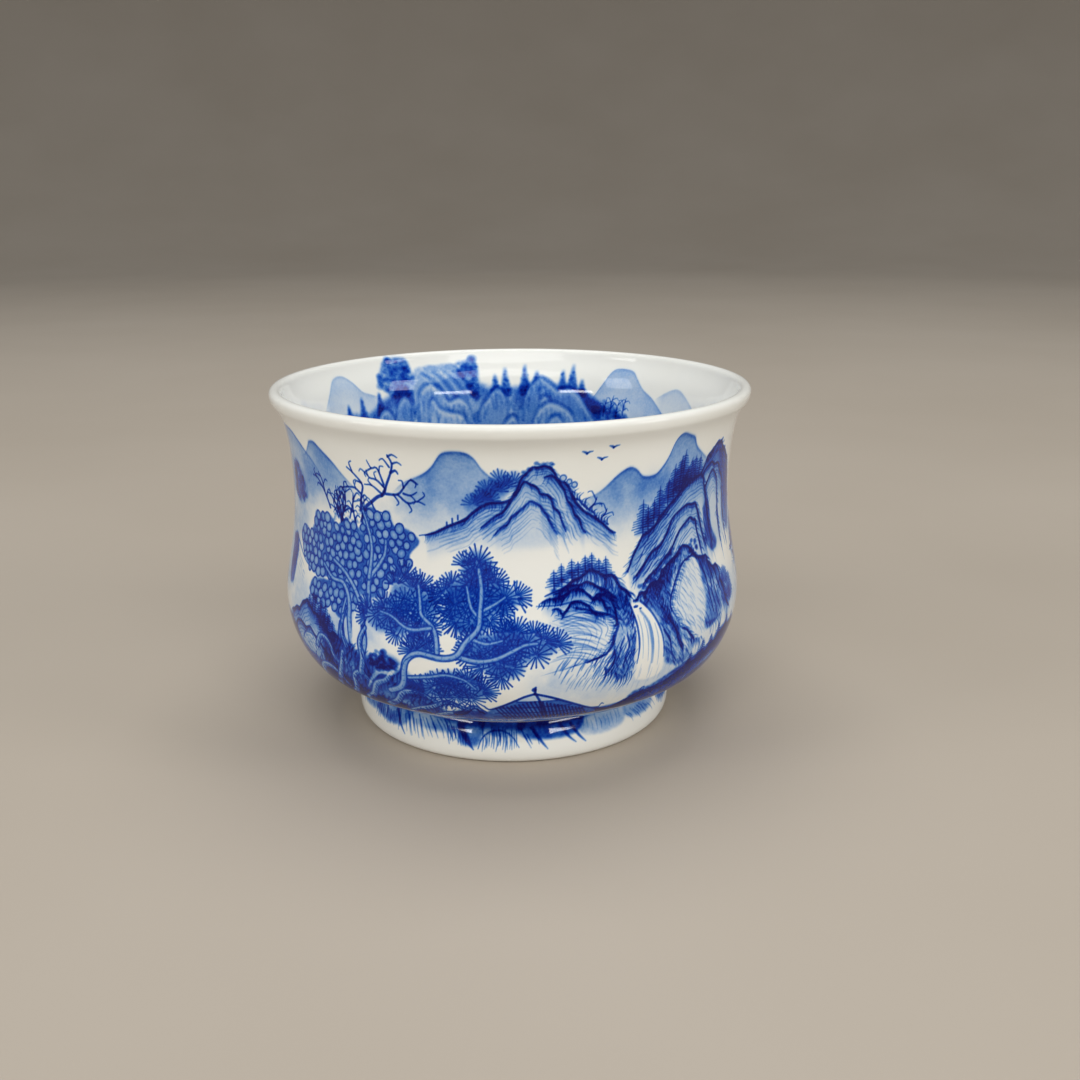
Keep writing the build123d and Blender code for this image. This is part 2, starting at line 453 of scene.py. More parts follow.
def far_peaks(c):
    """Pale peaks that fade down into mist, all the way round."""
    for line, ink in (
        ([(-84, 51), (-80, 53), (-73, 52.8), (-66, 52.7), (-62, 51.6), (-58, 50.1), (-55, 49), (-51, 47)],
         0.24),
        ([(-61, 49), (-58, 49.8), (-56, 51), (-54.5, 52), (-52, 52.2), (-50, 51.4), (-46, 49.8), (-42.5, 48),
          (-38, 46)], 0.36),
        ([(-28, 46.6), (-24.5, 48.4), (-20.5, 49.6), (-17.8, 50.9), (-15.3, 53), (-13, 53.5), (-10, 53.4),
          (-8, 52.5), (-6.5, 51), (-4, 49.4), (0, 47)], 0.34),
        ([(15, 45.6), (20, 47), (24, 49.1), (27, 50.1), (29, 49.6), (31, 48.4), (34, 48.3), (36, 49.1),
          (38, 50.8), (39.5, 53.4), (41, 54.2), (44, 53.6), (46, 53), (48, 51.3), (52, 49.5), (56, 48)],
          0.34),
        ([(76, 46), (80, 48.6), (84, 51), (87, 52.6), (90, 52.4), (94, 50.6), (99, 49), (104, 47)], 0.34),
        ([(112, 47), (118, 49.5), (122, 50.3), (126, 49.4), (131, 51.2), (135, 53.2), (139, 53),
          (143, 50.8), (150, 48), (156, 46)], 0.34),
        ([(-176, 46), (-170, 48.5), (-166, 50.9), (-162, 51.4), (-157, 49.6), (-150, 47)], 0.32),
        ([(-128, 46), (-122, 49), (-118, 51.6), (-114, 52.8), (-109, 52.2), (-104, 49.8), (-97, 47.5)], 0.34),
    ):
        c.ridge(line, 1.25 * ink, 8, 0.26, 0.3, ends=6, mist=41)


def mist(c):
    """Very pale washes that fill the gaps between the mountains."""
    for outline, ink in (
        ([(-82, 24), (-82, 46), (-62, 47), (-52, 45), (-60, 40), (-67, 33), (-70, 26)], 0.17),
        ([(-34, 41), (-28, 46), (-10, 48), (4, 47), (12, 42), (-5, 40)], 0.07),
        ([(12, 41), (20, 46), (36, 48), (52, 45), (44, 40), (26, 40)], 0.07),
        ([(4, 16), (6, 22), (24, 20), (40, 21), (56, 20), (50, 16), (30, 14)], 0.09),
        ([(-68, 22), (-66, 29), (-50, 27), (-36, 30), (-34, 22)], 0.14),
    ):
        c.fill(outline, ink, soft=3.5, mottle=0.5)


def birds(c, flock):
    """Far birds: two short strokes each."""
    for a, z in flock:
        c.stroke([(a - 1.1, z + 0.25), (a - 0.4, z + 0.1), (a, z - 0.1)], 0.3, 0.75, (0.4, 1, 1))
        c.stroke([(a, z - 0.1), (a + 0.5, z + 0.12), (a + 1.3, z + 0.2)], 0.3, 0.75, (1, 0.8, 0.3))


def central_mountain(c):
    """The nearer mountain: three crests inside one another, with trees on its left shoulder."""
    crag(c, [(-20, 40.6), (-14, 42.3), (-9, 44.2), (-5, 46), (0, 46.8), (1, 48.4), (3.3, 50.4), (5.5, 51.2),
             (8.2, 51.3), (10, 49.6), (12.5, 48), (14.5, 45.4), (18, 43.5), (21, 41.8), (24, 40.4)],
         39, 0.34, 1.6, 0.85, 6, (0.08, -0.62), 0.8)
    crag(c, [(7, 49.6), (9.6, 49.4), (11.6, 47.4), (13, 45.2), (15, 43), (16.6, 41)], 40, 0.5, 1.2, 0.8, 5,
         (-0.4, -0.35), 0.8)
    crag(c, [(-7, 42.2), (-3.6, 44), (-1, 45.4), (0.6, 47.2), (2.6, 48.6), (4.6, 48.6), (6.4, 47.4),
             (8.6, 46.2), (10.4, 44), (12, 41.4)], 39, 0.3, 1.4, 0.75, 6, (0.08, -0.58), 0.75)
    crag(c, [(-4, 41.2), (-1, 42.8), (0.6, 44.2), (2.8, 45.7), (4.8, 46), (6.6, 44.9), (8.4, 43), (10, 41)],
         38.5, 0.16, 1.2, 0.5, 7, (0.05, -0.56), 0.65)
    c.folds([(-19, 40.7), (-14, 42), (-10, 43.1), (-6, 44.4), (-3, 45.4)], 6, (0.3, -0.42), 0.4, 0.16, 0.8)
    c.stroke([(-21.5, 40.5), (-18, 41), (-14, 42.3), (-10, 43.7), (-7.2, 45.3)], 0.3, 0.85, (0.4, 1, 0.8))
    c.folds([(13, 46.8), (16, 46.2), (17.8, 45.6), (19.4, 44), (22, 41.6), (24, 40.5)], 5, (-0.45, -0.4),
            0.42, 0.16, 0.7)
    for a, z in ((-8.6, 45.6), (-6.8, 46.4), (-5, 46.2), (-5.4, 47.8), (-3.2, 47.6), (-1.4, 48.4),
                 (-2.6, 49.2), (0.4, 49)):
        fan(c, (a, z), 1.7, -10, 190, 0.85, 0.28)
    scrub(c, [(1.5, 49.8), (3.5, 51.4), (8, 52), (9.5, 50.6), (6, 50.8), (3, 49.8)], 0.3, 0.5, 0.5)
    for a, z, size in ((11.2, 49.4, 0.6), (12.6, 48.8, 0.5), (13.8, 48.3, 0.55)):
        c.dab((a, z), size * 0.9, 0.75, "over")
        c.dab((a, z), size * 0.9 - 0.17, 0.16, "over")
    for a, z in ((-14.8, 42.2), (-13.5, 42.8), (-12.2, 43.3)):
        c.stroke([(a, z), (a, z + 0.6)], 0.22, 0.9, (1, 1))
    slope = [(14, 46.4), (16.4, 45), (18, 44), (20.4, 42.6), (22.6, 41.4)]
    for lean, length in ((58, 1.3), (118, 1.0)):
        c.comb(slope, length, lean, 0.7, 0.75, 0.2, 0.3)
    for a, z, b, w in ((17.8, 44.6, 19.2, 46.1), (20.4, 42.9, 21.8, 44.2)):
        twig(c, [(a, z), ((a + b) / 2 + 0.3, (z + w) / 2), (b, w)], 0.26, 0.9, 2)


def right_cliffs(c):
    """The high cliffs on the right: rounded lobes one inside another, which fall to the lower left."""
    far = [(50, 45.6), (52.4, 47.4), (54, 49.2), (57, 50.2), (60, 50.8), (62.5, 49.8), (66, 48.3), (69, 46.6),
           (72, 43.6), (75, 39.5)]
    crag(c, far, 34, 0.75, 4.5, 0.9, 6, (0.25, -0.85))
    c.fill([(61, 49.4), (66, 47.6), (72, 43), (73, 36), (69, 36), (66.6, 43), (62, 47)], 0.4, soft=0.8,
           pool=0.3)
    c.hatch([(61, 48), (68, 46), (73, 40), (71, 34), (65, 34), (64, 42)], -68, 0.7, 3.4, 0.5, 0.24, 0.1)
    scrub(c, [(54, 49.4), (58, 51), (62, 51), (66, 49), (64, 48), (58, 49.2), (54, 48)], 0.42, 0.4, 0.7)
    for line, low, wash, depth in (
        ([(51, 45.6), (53.4, 46.8), (57, 47.6), (60, 47.2), (63, 46), (65.4, 43.6), (66.4, 40), (67.6, 35)],
         33, 0.5, 1.8),
        ([(52, 40), (53.2, 43), (55.2, 45), (58, 46.2), (60.4, 45), (61.8, 42), (62.6, 38), (63.6, 34)], 32,
         0.36, 1.5),
        ([(27, 34.2), (29, 37), (31.6, 39.2), (35, 40.4), (38, 42.4), (41, 43.6), (45, 45.4), (50, 46.6),
          (53, 45.6), (54.8, 42.4), (56, 38.6), (58, 34.6)], 32, 0.6, 1.9),
        ([(28.4, 33), (32, 35.2), (36, 37), (39, 39), (41, 41), (44, 42.2), (48, 42.3), (50.6, 41),
          (52.4, 38), (54.6, 34.6)], 32, 0.45, 1.5),
        ([(31, 32), (36, 34.2), (41, 36.8), (44.6, 39), (47.4, 40.2), (49.6, 39.4), (50.8, 37), (52, 34.4)],
         31.5, 0.25, 1.2),
    ):
        crag(c, line, low, wash, depth, 0.9, 6, (0.16, -0.6))
    c.hatch([(26, 34.4), (30, 38.4), (40, 42.6), (41, 38), (33, 33)], 40, 0.55, 2.8, 0.5, 0.18, -0.15)
    c.fill([(53.6, 41), (55.6, 42), (57, 40), (58, 37), (60.8, 34.4), (58.5, 33.4), (55, 35)], 0.5, soft=0.5,
           pool=0.3)
    c.hatch([(53.6, 41.6), (56, 42.5), (58, 37), (61, 34), (59, 32.8), (54, 35)], -72, 0.5, 2.2, 0.5, 0.22)
    for slope, count, height in (
        ([(38.4, 43), (41.6, 44.2), (44.6, 45)], 4, 5.6),
        ([(44.8, 45.2), (47.6, 45.8), (51, 46.4)], 4, 4.4),
        ([(30.6, 39), (33.5, 40.2), (37.2, 41.8)], 4, 4.8),
    ):
        firs(c, slope, count, height, 0.85)


def rocks_left_of_water(c):
    """A rock like a curled wave, under a row of firs."""
    firs(c, [(8.5, 32.6), (12, 33.8), (15.5, 34.6), (19, 34.8), (22.5, 33.4)], 8, 2.9)
    scrub(c, [(8, 32), (9, 34.6), (15, 36.2), (21, 35.4), (24, 33), (18, 34)], 0.4, 0.36, 0.7)
    left = list(c.craggy([(7, 32), (12, 33.4), (15, 34.6), (19, 34.9), (23, 33.6), (26, 31.6), (27.2, 30.6)],
                         1.6, 0.25))
    c.wipe(left + [(28, 26), (26.5, 19), (18, 18), (9, 20.5), (8, 26)], 0.04, 0.5)
    c.ridge(left, 0.6, 1.4, 0.4, 0.3, ends=3)
    c.comb(left[2:], 2.0)
    c.stroke(left, 0.4, 0.95, (0.4, 1, 0.8, 1.2, 1))
    for line, ink in (
        ([(9, 32.2), (12, 32.8), (15, 33.4), (18, 33.4), (21, 32.2), (23.6, 30.6)], 0.6),
        ([(6, 31), (9, 31.6), (12, 31.8), (14.5, 32.6), (18, 31.6), (20, 30.2), (22, 29.4)], 0.8),
        ([(8.5, 30), (11, 29.5), (13, 30.4), (16, 30.4), (18, 29.2), (20.4, 28.6)], 0.7),
        ([(18, 31), (20, 31.6), (22.4, 30.4), (23.4, 28.4), (23, 26.6)], 0.6),
    ):
        lumpy = c.craggy(line, 1.4, 0.25)
        c.ridge(lumpy, 0.5, 0.9, 0.3, 0.25, ends=1)
        c.stroke(lumpy, 0.34, 0.9, (0.4, 1, 0.7, 1, 0.5))
        c.comb(lumpy, 1.3, ink=ink)
    c.stroke([(5, 30.6), (10, 30.6), (15, 31), (19, 30)], 0.24, 0.6)
    swirl = [(14, 30), (18, 29.2), (22, 28.2), (23.6, 26.9), (22.9, 25.6), (22, 24), (20.2, 22.5), (16, 21.6)]
    c.fill([(18.5, 31.4), (22, 33.4), (26.2, 31.2), (27.4, 29), (27.8, 26), (27.4, 21), (25, 17.6),
            (22.5, 19), (22.3, 23.6), (23.6, 26.9), (22, 28.4), (20, 29.5)], 0.3, soft=0.4, pool=0.4,
            mottle=0.7)
    c.hatch([(19, 31), (24, 33), (27.4, 29), (27.8, 24), (27, 19), (23, 19), (23, 24), (24, 27)], -72, 0.55,
            1.7, 0.5, 0.2, 0.2)
    c.comb([(17, 34.4), (21, 34), (25, 31.6), (27, 29)], 3.0, -110, 0.5)
    c.comb([(27.2, 29), (27.8, 26), (27.4, 22)], 1.8, -120, 0.45)
    c.comb([(22.4, 25.6), (22.6, 22), (22.4, 19.4)], 2.4, -130)
    c.comb([(20, 20.4), (22.6, 19.4), (25, 18.4), (27.6, 19)], 2.6, -100)
    c.stroke(swirl, 0.42, 0.75, (0.4, 1, 1, 0.4))
    c.comb(swirl, 1.6, 170, ink=0.45)
    c.folds(swirl, 8, (-0.85, -0.18), 0.5, 0.16, 0.7, (0.25, 0.7))
    for k in range(20):
        z = 22.2 + k * 0.36
        a = 9 + c.rng.uniform(-1.5, 2)
        arc = [(a, z), (a + 3.4, z + 0.55), (a + 7, z + 0.1), (a + 9.5, z - 0.8)]
        c.stroke(arc, 0.18, 0.42 * c.rng.uniform(0.5, 1.3), (0.3, 1, 0.3))
    for k in range(6):
        a, z = 24.2 + 0.7 * k, 29 - 0.4 * k
        c.stroke([(a, z), (a + 0.6, z - 2.4), (a + 0.2, z - 5), (a - 0.5, z - 8)], 0.24, 0.4, (0.5, 1, 0.4),
                 "lift")
    c.stroke([(25, 25), (25.4, 23.4), (24.6, 21.8), (24, 20)], 1.0, 0.7, (0.5, 1, 0.4), "lift", 0.3)
    c.stroke([(25.7, 25.3), (26.1, 23.4), (25.3, 21.7), (24.8, 19.9)], 0.28, 0.8, (0.5, 1, 0.5))
    scrub(c, [(22, 31.4), (26.4, 30.8), (27.2, 27), (24.5, 26.4), (23.8, 29)], 0.36, 0.4, 0.66)
    c.hatch([(9, 21.8), (16, 22), (21, 22.8), (27, 22), (28, 18), (22, 16.6), (12, 18)], 60, 0.5, 2.8, 0.62,
            0.2, 0.12, (1, 0.25))
    c.hatch([(15, 21.5), (22, 23), (27, 25), (27.4, 20), (21, 18)], 66, 0.5, 2.6, 0.6, 0.22, 0.1, (1, 0.4))


def rocks_right_of_water(c):
    """A broken crest over dark flanks, round one tall pale face."""
    right = list(c.craggy([(28, 29.8), (30, 30.6), (33, 31.6), (36, 32.2), (37.4, 34), (40, 34.6),
                           (44.5, 36.1), (47.4, 35.4), (49, 33.6), (51, 33.3), (53.5, 33.2), (55.5, 31.2),
                           (58.4, 31), (60, 29), (61, 26), (64, 23)]))
    c.wipe(right + [(60, 22), (50, 20), (44, 17.4), (36, 19), (33, 27)], 0.05, 0.4)
    c.ridge(right, 0.6, 1.6, 0.4, 0.3, ends=0.5)
    c.comb(right, 1.9)
    c.comb(np.array(right[:16]) - (0, 1.6), 1.8, ink=0.5)
    c.stroke(right, 0.36, 0.85, (0.8, 1, 0.7, 1.1, 0.6, 1, 0.6))
    scrub(c, [(29.5, 30.4), (29.5, 32.2), (34, 33.2), (37, 33.4), (36.6, 31), (31, 30)], 0.4, 0.55, 0.62)
    scrub(c, [(37.4, 33), (38.4, 35.6), (43.5, 36.2), (43.6, 34.6), (40, 33.4)], 0.36, 0.45, 0.62)
    scrub(c, [(46.6, 34.4), (47.2, 36.4), (50, 36), (49.8, 33.6)], 0.4, 0.6, 0.55)
    pale = [(47.5, 34.2), (43.5, 33.4), (40.4, 30.8), (38.4, 28.4), (38.6, 27), (40.4, 25), (41, 24),
            (43.4, 23), (46, 21.2), (49.4, 20.8), (51, 25), (51, 30), (49.6, 33)]
    c.fill([(33, 31.2), (40, 33.6), (38, 28), (40.4, 24.4), (46, 20.6), (44, 17.6), (38, 18.4), (36.2, 20),
            (35.6, 24), (33.6, 27.4), (31, 29.6)], 0.3, soft=0.4, pool=0.4, mottle=0.7)
    c.hatch([(31, 30.6), (40, 33.4), (38, 28), (40.6, 24), (46, 20), (43, 17.6), (37, 19), (35.4, 24)], -58,
            0.55, 1.9, 0.5, 0.2, 0.2)
    c.comb([(34.4, 31.4), (37, 28.6), (39, 25.4), (42, 22.6)], 2.4, -120, 0.5)
    c.wipe(pale, 0.05, 0.3)
    c.stroke(pale[:9], 0.38, 0.9, (0.6, 1, 0.8, 1, 0.4))
    c.comb(pale[:9], 1.5, -20, ink=0.45)
    c.comb(pale[7:10], 2.4, -70)
    c.folds(pale[:8], 4, (0.55, 0.12), 0.45, 0.16, 0.6)
    c.hatch(pale, -52, 0.55, 2.6, 0.22, 0.16, 0.15)
    for k in range(9):
        a, z = 34.5 + 0.75 * k, 27.6 - 0.75 * k
        c.stroke([(a, z + 3.2), (a + 1, z), (a + 2.6, z - 3.2)], 0.22, 0.55, (0.4, 1, 0.3))
    c.hatch([(36, 27), (39, 26), (45, 20.4), (43, 17.8), (38, 19)], -48, 0.6, 2.4, 0.5, 0.2)
    for line in ([(37.4, 26), (39.4, 24), (40.6, 21.6), (42.6, 19.6)],
                 [(35.8, 24.4), (37.6, 22.4), (38.4, 20.4), (40.4, 18.4)]):
        c.stroke(np.array(line) + (1.2, 0.5), 0.9, 0.6, (0.5, 1, 0.4), "lift", 0.3)
        c.stroke(line, 0.34, 0.85, (1, 0.8, 0.4))
    right_rock = [(50.4, 32.6), (53.5, 32.6), (55.5, 30.6), (58.4, 30.4), (59.4, 28.6), (58.6, 26.6),
                  (62, 23.6), (56, 22.4), (50.6, 22), (51.4, 27)]
    c.fill(right_rock, 0.3, soft=0.5, pool=0.5, mottle=0.8)
    c.comb([(51, 22.8), (55, 22.6), (59, 23)], 2.4, -70, ink=0.5)
    c.hatch(right_rock, -62, 0.62, 2.4, 0.5, 0.2, 0.1)
    for line in ([(51, 32.4), (52.6, 30), (53.4, 27), (54.6, 24)],
                 [(54, 32.4), (55.8, 29.6), (56.4, 27), (58.4, 24)],
                 [(57.6, 30.6), (58.4, 28), (60.4, 25.6)]):
        c.ridge(line, 0.5, 1.0, 0.4, 0.3)
        c.stroke(line, 0.3, 0.85, (1, 0.8, 0.5))
    c.stroke([(55.4, 30.4), (54.6, 27.6), (56, 24.6), (57, 22.6)], 0.4, 0.75)
    for a, z in ((60.5, 27.6), (62.8, 28.4), (65, 27), (61.6, 25.4), (64.2, 24.8), (66, 25.2)):
        fan(c, (a, z), 1.5, 0, 360, 0.7, 0.5)


def waterfall_rocks(c):
    """The rocks on both sides of the waterfall, and the water between them."""
    rocks_left_of_water(c)
    rocks_right_of_water(c)
    water = [(26.8, 29.6), (30, 29.4), (32.2, 27.8), (34.2, 25.6), (35.4, 23), (36, 20), (35.6, 17), (29, 17),
             (28.4, 20), (28.8, 23), (28.4, 26), (27.4, 28.4)]
    c.wipe(water, 0.0, 0.3)
    c.stroke(water[8:] + [water[0]], 0.3, 0.8, (0.3, 1, 1, 0.7))
    c.stroke([(29.8, 29.6), (32.2, 27.9), (34.2, 25.6), (35.5, 23), (36, 20)], 0.32, 0.75, (1, 1, 0.4))
    c.stroke([(29.5, 28.2), (31.4, 26.2), (32.3, 23), (32.5, 19.5)], 0.5, 0.4, (0.5, 1, 0.3), soft=0.3)
    for k in range(4):
        a = 29.6 + k * 1.5
        top = 27.6 - 0.6 * k
        c.stroke([(a - 0.9, top), (a, top - 2.6), (a + 0.3, top - 7)], 0.16, 0.3, (0.5, 1, 0.2))
    c.dab((28.4, 28.9), 0.4, 0.95, squash=0.5)
    c.dab((29.6, 28.5), 0.22, 0.8, squash=0.6)
    c.hatch([(22, 18.6), (36, 19), (46, 18), (42, 15.4), (24, 15.8)], 84, 1.0, 2.4, 0.2, 0.15, 0, (1, 0.3))


def leafy_tree(c):
    """The old tree on the left: bare crooked twigs above, round leaves below, pale trunks."""
    for line, width, buds in (
        ([(-36.5, 39.5), (-37, 41.5), (-36, 43.5), (-34, 44.6), (-32, 45.6), (-30.3, 46.1), (-29.3, 47.6),
          (-27.8, 49.6), (-27.2, 51), (-28, 52.2)], 0.62, 3),
        ([(-37.5, 43), (-37, 45.2), (-36.3, 47), (-38.5, 48.5), (-40.7, 49.4)], 0.42, 3),
        ([(-37, 45.6), (-39, 46.4), (-41, 46.3), (-41.8, 47)], 0.32, 2),
        ([(-44.5, 37), (-44, 40), (-44.6, 43), (-45.6, 45.2)], 0.6, 3),
        ([(-44.4, 41), (-42.8, 43), (-42.4, 45), (-43.4, 46)], 0.36, 3),
        ([(-45, 42.4), (-47.5, 44), (-48.5, 45.2)], 0.32, 2),
        ([(-48.5, 42.2), (-50.5, 44.4), (-53.2, 46.3), (-55.5, 46.6)], 0.36, 3),
        ([(-50.5, 44.6), (-51.4, 46.4), (-52.6, 47.4)], 0.3, 2),
        ([(-39, 40), (-40, 43), (-39.6, 45.4)], 0.4, 3),
        ([(-28, 52), (-26.8, 52.4), (-25.6, 52)], 0.28, 0),
        ([(-27, 51), (-25.8, 51.3), (-24.8, 50.9)], 0.26, 0),
        ([(-28, 50.4), (-29.4, 51.6), (-30.4, 51.3)], 0.26, 0),
        ([(-30, 47.6), (-31.4, 50), (-33, 49.9), (-34, 51)], 0.34, 2),
        ([(-30.2, 47.3), (-32, 48.2), (-34, 48.4), (-34.6, 49.4)], 0.3, 2),
        ([(-31, 46.2), (-33.4, 47.2), (-35.6, 47.2)], 0.28, 1),
        ([(-29.6, 46.2), (-26.4, 46.4), (-24.4, 47.8), (-22.8, 48.8), (-21.2, 48.2)], 0.36, 3),
        ([(-25, 46.6), (-23.2, 46.4), (-21.6, 47)], 0.28, 1),
        ([(-26.4, 46.3), (-24, 45.2), (-21.6, 45.6), (-19.8, 45.2)], 0.3, 2),
        ([(-34, 44.6), (-33, 43.4), (-31, 43.2)], 0.3, 1),
    ):
        twig(c, line, width * 1.1, 1.0, buds)
    scrub(c, [(-47, 38), (-47, 41.6), (-42.6, 43.4), (-41, 41), (-37, 43.6), (-33, 43.4), (-36, 39)],
          0.3, 0.3)
    for k in range(9):
        a, z = c.rng.uniform(-48, -35), c.rng.uniform(39, 42.6)
        tip = (a + c.rng.uniform(-3, 2.4), z + c.rng.uniform(2, 4.6))
        twig(c, [(a, z), ((a + tip[0]) / 2 + c.rng.normal(0, 0.5), (z + tip[1]) / 2), tip], 0.32, 0.9, 3)
    pebbles(c, [(-38, 36), (-37, 41), (-34.4, 43.8), (-31.6, 42.8), (-29.2, 43.6), (-28, 41.4), (-24.6, 41.2),
                (-21.6, 39.6), (-24, 37.4), (-23.6, 35.4), (-27, 34), (-29.6, 33), (-31, 30.6), (-38, 30.6)])
    pebbles(c, [(-56.6, 38.6), (-55.6, 40.8), (-52, 40.6), (-49, 41), (-46, 39.8), (-43, 40.8), (-37.6, 39.6),
                (-37, 35), (-37.4, 30.8), (-42, 30.6), (-48, 31.4), (-53, 30.8), (-58.6, 31.6), (-62.6, 33.2),
                (-65.2, 36), (-62, 37.6), (-59, 37)])
    pebbles(c, [(-57, 28.2), (-55, 30.2), (-48, 30.8), (-42, 31), (-38, 29.6), (-39, 27.4), (-43, 25.8),
                (-47, 27.2), (-51, 26.6), (-54.6, 27)])
    for line, width in (
        ([(-39.2, 22.5), (-40, 26), (-40.6, 29), (-43, 31.2), (-47, 31.4), (-51, 33)], 0.85),
        ([(-41.6, 22), (-42.4, 26), (-41.6, 29)], 0.6),
        ([(-35, 17), (-36.4, 20), (-35.2, 23), (-35.8, 26), (-37.6, 29.6), (-42, 32.6), (-47, 34.2)], 0.95),
        ([(-34.4, 29), (-34.8, 32.6), (-32.4, 35), (-30.6, 37), (-30.3, 39)], 0.75),
        ([(-34.9, 33), (-34.4, 37.6), (-35.6, 41), (-36.8, 43)], 0.65),
        ([(-42.6, 25), (-43.6, 21.6), (-47.6, 18.4)], 0.8),
    ):
        trunk(c, line, width * 0.85)


def left_bank(c):
    """Rocks, firs and banks under the leafy tree."""
    cloud_of_leaves(c, [(-71, 42), (-70, 46), (-67, 47.4), (-63, 46), (-60.5, 43), (-62, 41.4), (-67, 41)],
                    0.8, 0.6)
    c.stroke([(-69.5, 35), (-65.5, 33.6), (-61, 32), (-57, 31.4)], 0.36, 0.6, (1, 0.7, 0.3))
    c.folds([(-69.5, 34.4), (-65.5, 33), (-61, 31.4)], 4, (0.1, -0.8), 0.3, 0.3)
    c.fill([(-73, 34.4), (-69.4, 35), (-67.4, 33.4), (-67.8, 29.4), (-69, 27), (-72.5, 27.4)], 0.75, soft=0.4,
           pool=0.3)
    c.hatch([(-73, 34.4), (-67.4, 34), (-67.6, 28), (-72.4, 26.6)], -80, 0.6, 2.6, 0.4, 0.3)
    crag(c, [(-69, 22.2), (-66, 23), (-62, 24.4), (-58.5, 25.8), (-56.6, 26), (-54, 24.9), (-51, 24.6),
             (-47, 23), (-44, 22.4)], 15, 0.8, 1.7, 0.75, 6, (0.25, -0.6))
    firs(c, [(-57, 25.6), (-54, 25), (-50, 24.4), (-46, 23)], 6, 3.0)
    firs(c, [(-52, 23), (-48, 22), (-45, 21.4)], 4, 4.2)
    crag(c, [(-67, 19.6), (-63, 21.8), (-58, 21.6), (-54, 21.4), (-50, 19.4), (-47, 17)], 12, 0.5, 1.7,
         0.7, 5, (0.2, -0.7))
    rock(c, [(-63, 15), (-62, 18.6), (-58.6, 20.6), (-54, 20.8), (-51, 18), (-50, 14), (-56, 13)], 0.5, 0.1,
         -50, 0.3)
    c.fill([(-78, 21), (-68, 21), (-60, 17), (-48, 16), (-38, 14), (-28, 12.6), (-28, 10.6), (-78, 10.6)],
           0.95, soft=1.2, mottle=0.5)
    c.fill([(-50, 21), (-44, 23), (-38.6, 21.6), (-34, 21), (-28, 21.6), (-22.6, 18), (-18, 13.4), (-17, 11),
            (-50, 11)], 0.85, soft=0.8, mottle=0.5)
    c.wipe([(-38.4, 28), (-36.6, 27.4), (-36.4, 24), (-37, 21.8), (-39, 22), (-39, 25)], 0.04, 0.25)
    c.hatch([(-56, 18), (-50, 22), (-40, 22), (-30, 20), (-20, 16), (-14, 12), (-50, 11)], 62, 0.6, 2.2, 0.5,
            0.3, 0.3)
    for line, width in (
        ([(-58, 11.6), (-55.6, 14.6), (-52, 16.2), (-48, 16), (-45.6, 13.6)], 1.2),
        ([(-53, 19.6), (-50.6, 21.6), (-47.6, 21), (-46, 18.6), (-43.6, 17.4)], 0.9),
        ([(-50, 13), (-46.6, 15.4), (-44, 18), (-42.6, 20.4)], 1.1),
        ([(-45, 12), (-42, 14), (-40.4, 16.6), (-37.6, 17.6), (-35.4, 16)], 1.0),
        ([(-40, 12), (-36.4, 13.6), (-33.6, 16.2), (-30.4, 17.4), (-28, 19.4)], 1.2),
        ([(-37.6, 17.6), (-36.2, 20.4), (-36.6, 23), (-35.2, 25.4)], 1.0),
        ([(-33, 12), (-29.4, 13.4), (-26.4, 15.6), (-22.4, 16), (-18.6, 14.6)], 1.1),
        ([(-27, 11.4), (-23.4, 12.6), (-20, 13.4), (-15.6, 14.8), (-12, 13.8)], 0.9),
        ([(-20, 11.2), (-16.4, 12.2), (-12.6, 12.6), (-9.6, 14.2), (-7, 13)], 0.8),
        ([(-41, 21.6), (-42.4, 24), (-42, 26.4)], 0.7),
    ):
        trunk(c, line, width * 0.95)
        c.comb(line, 1.1, -75, 0.4, 0.5)
    c.stroke([(-37, 15), (-34, 17.4), (-31.6, 18.8), (-28.6, 18.8), (-25.6, 20.6)], 0.9, 0.75, (0.3, 1, 0.5),
             "lift", 0.3)
    scrub(c, [(-34, 19.6), (-33, 22.6), (-28, 22), (-26.5, 19.6), (-30, 18.8)], 0.5, 0.6, 0.7)
    scrub(c, [(-50, 11.4), (-49, 15), (-40, 13.6), (-30, 13), (-20, 11.8), (-22, 11)], 0.5, 0.5, 0.8)


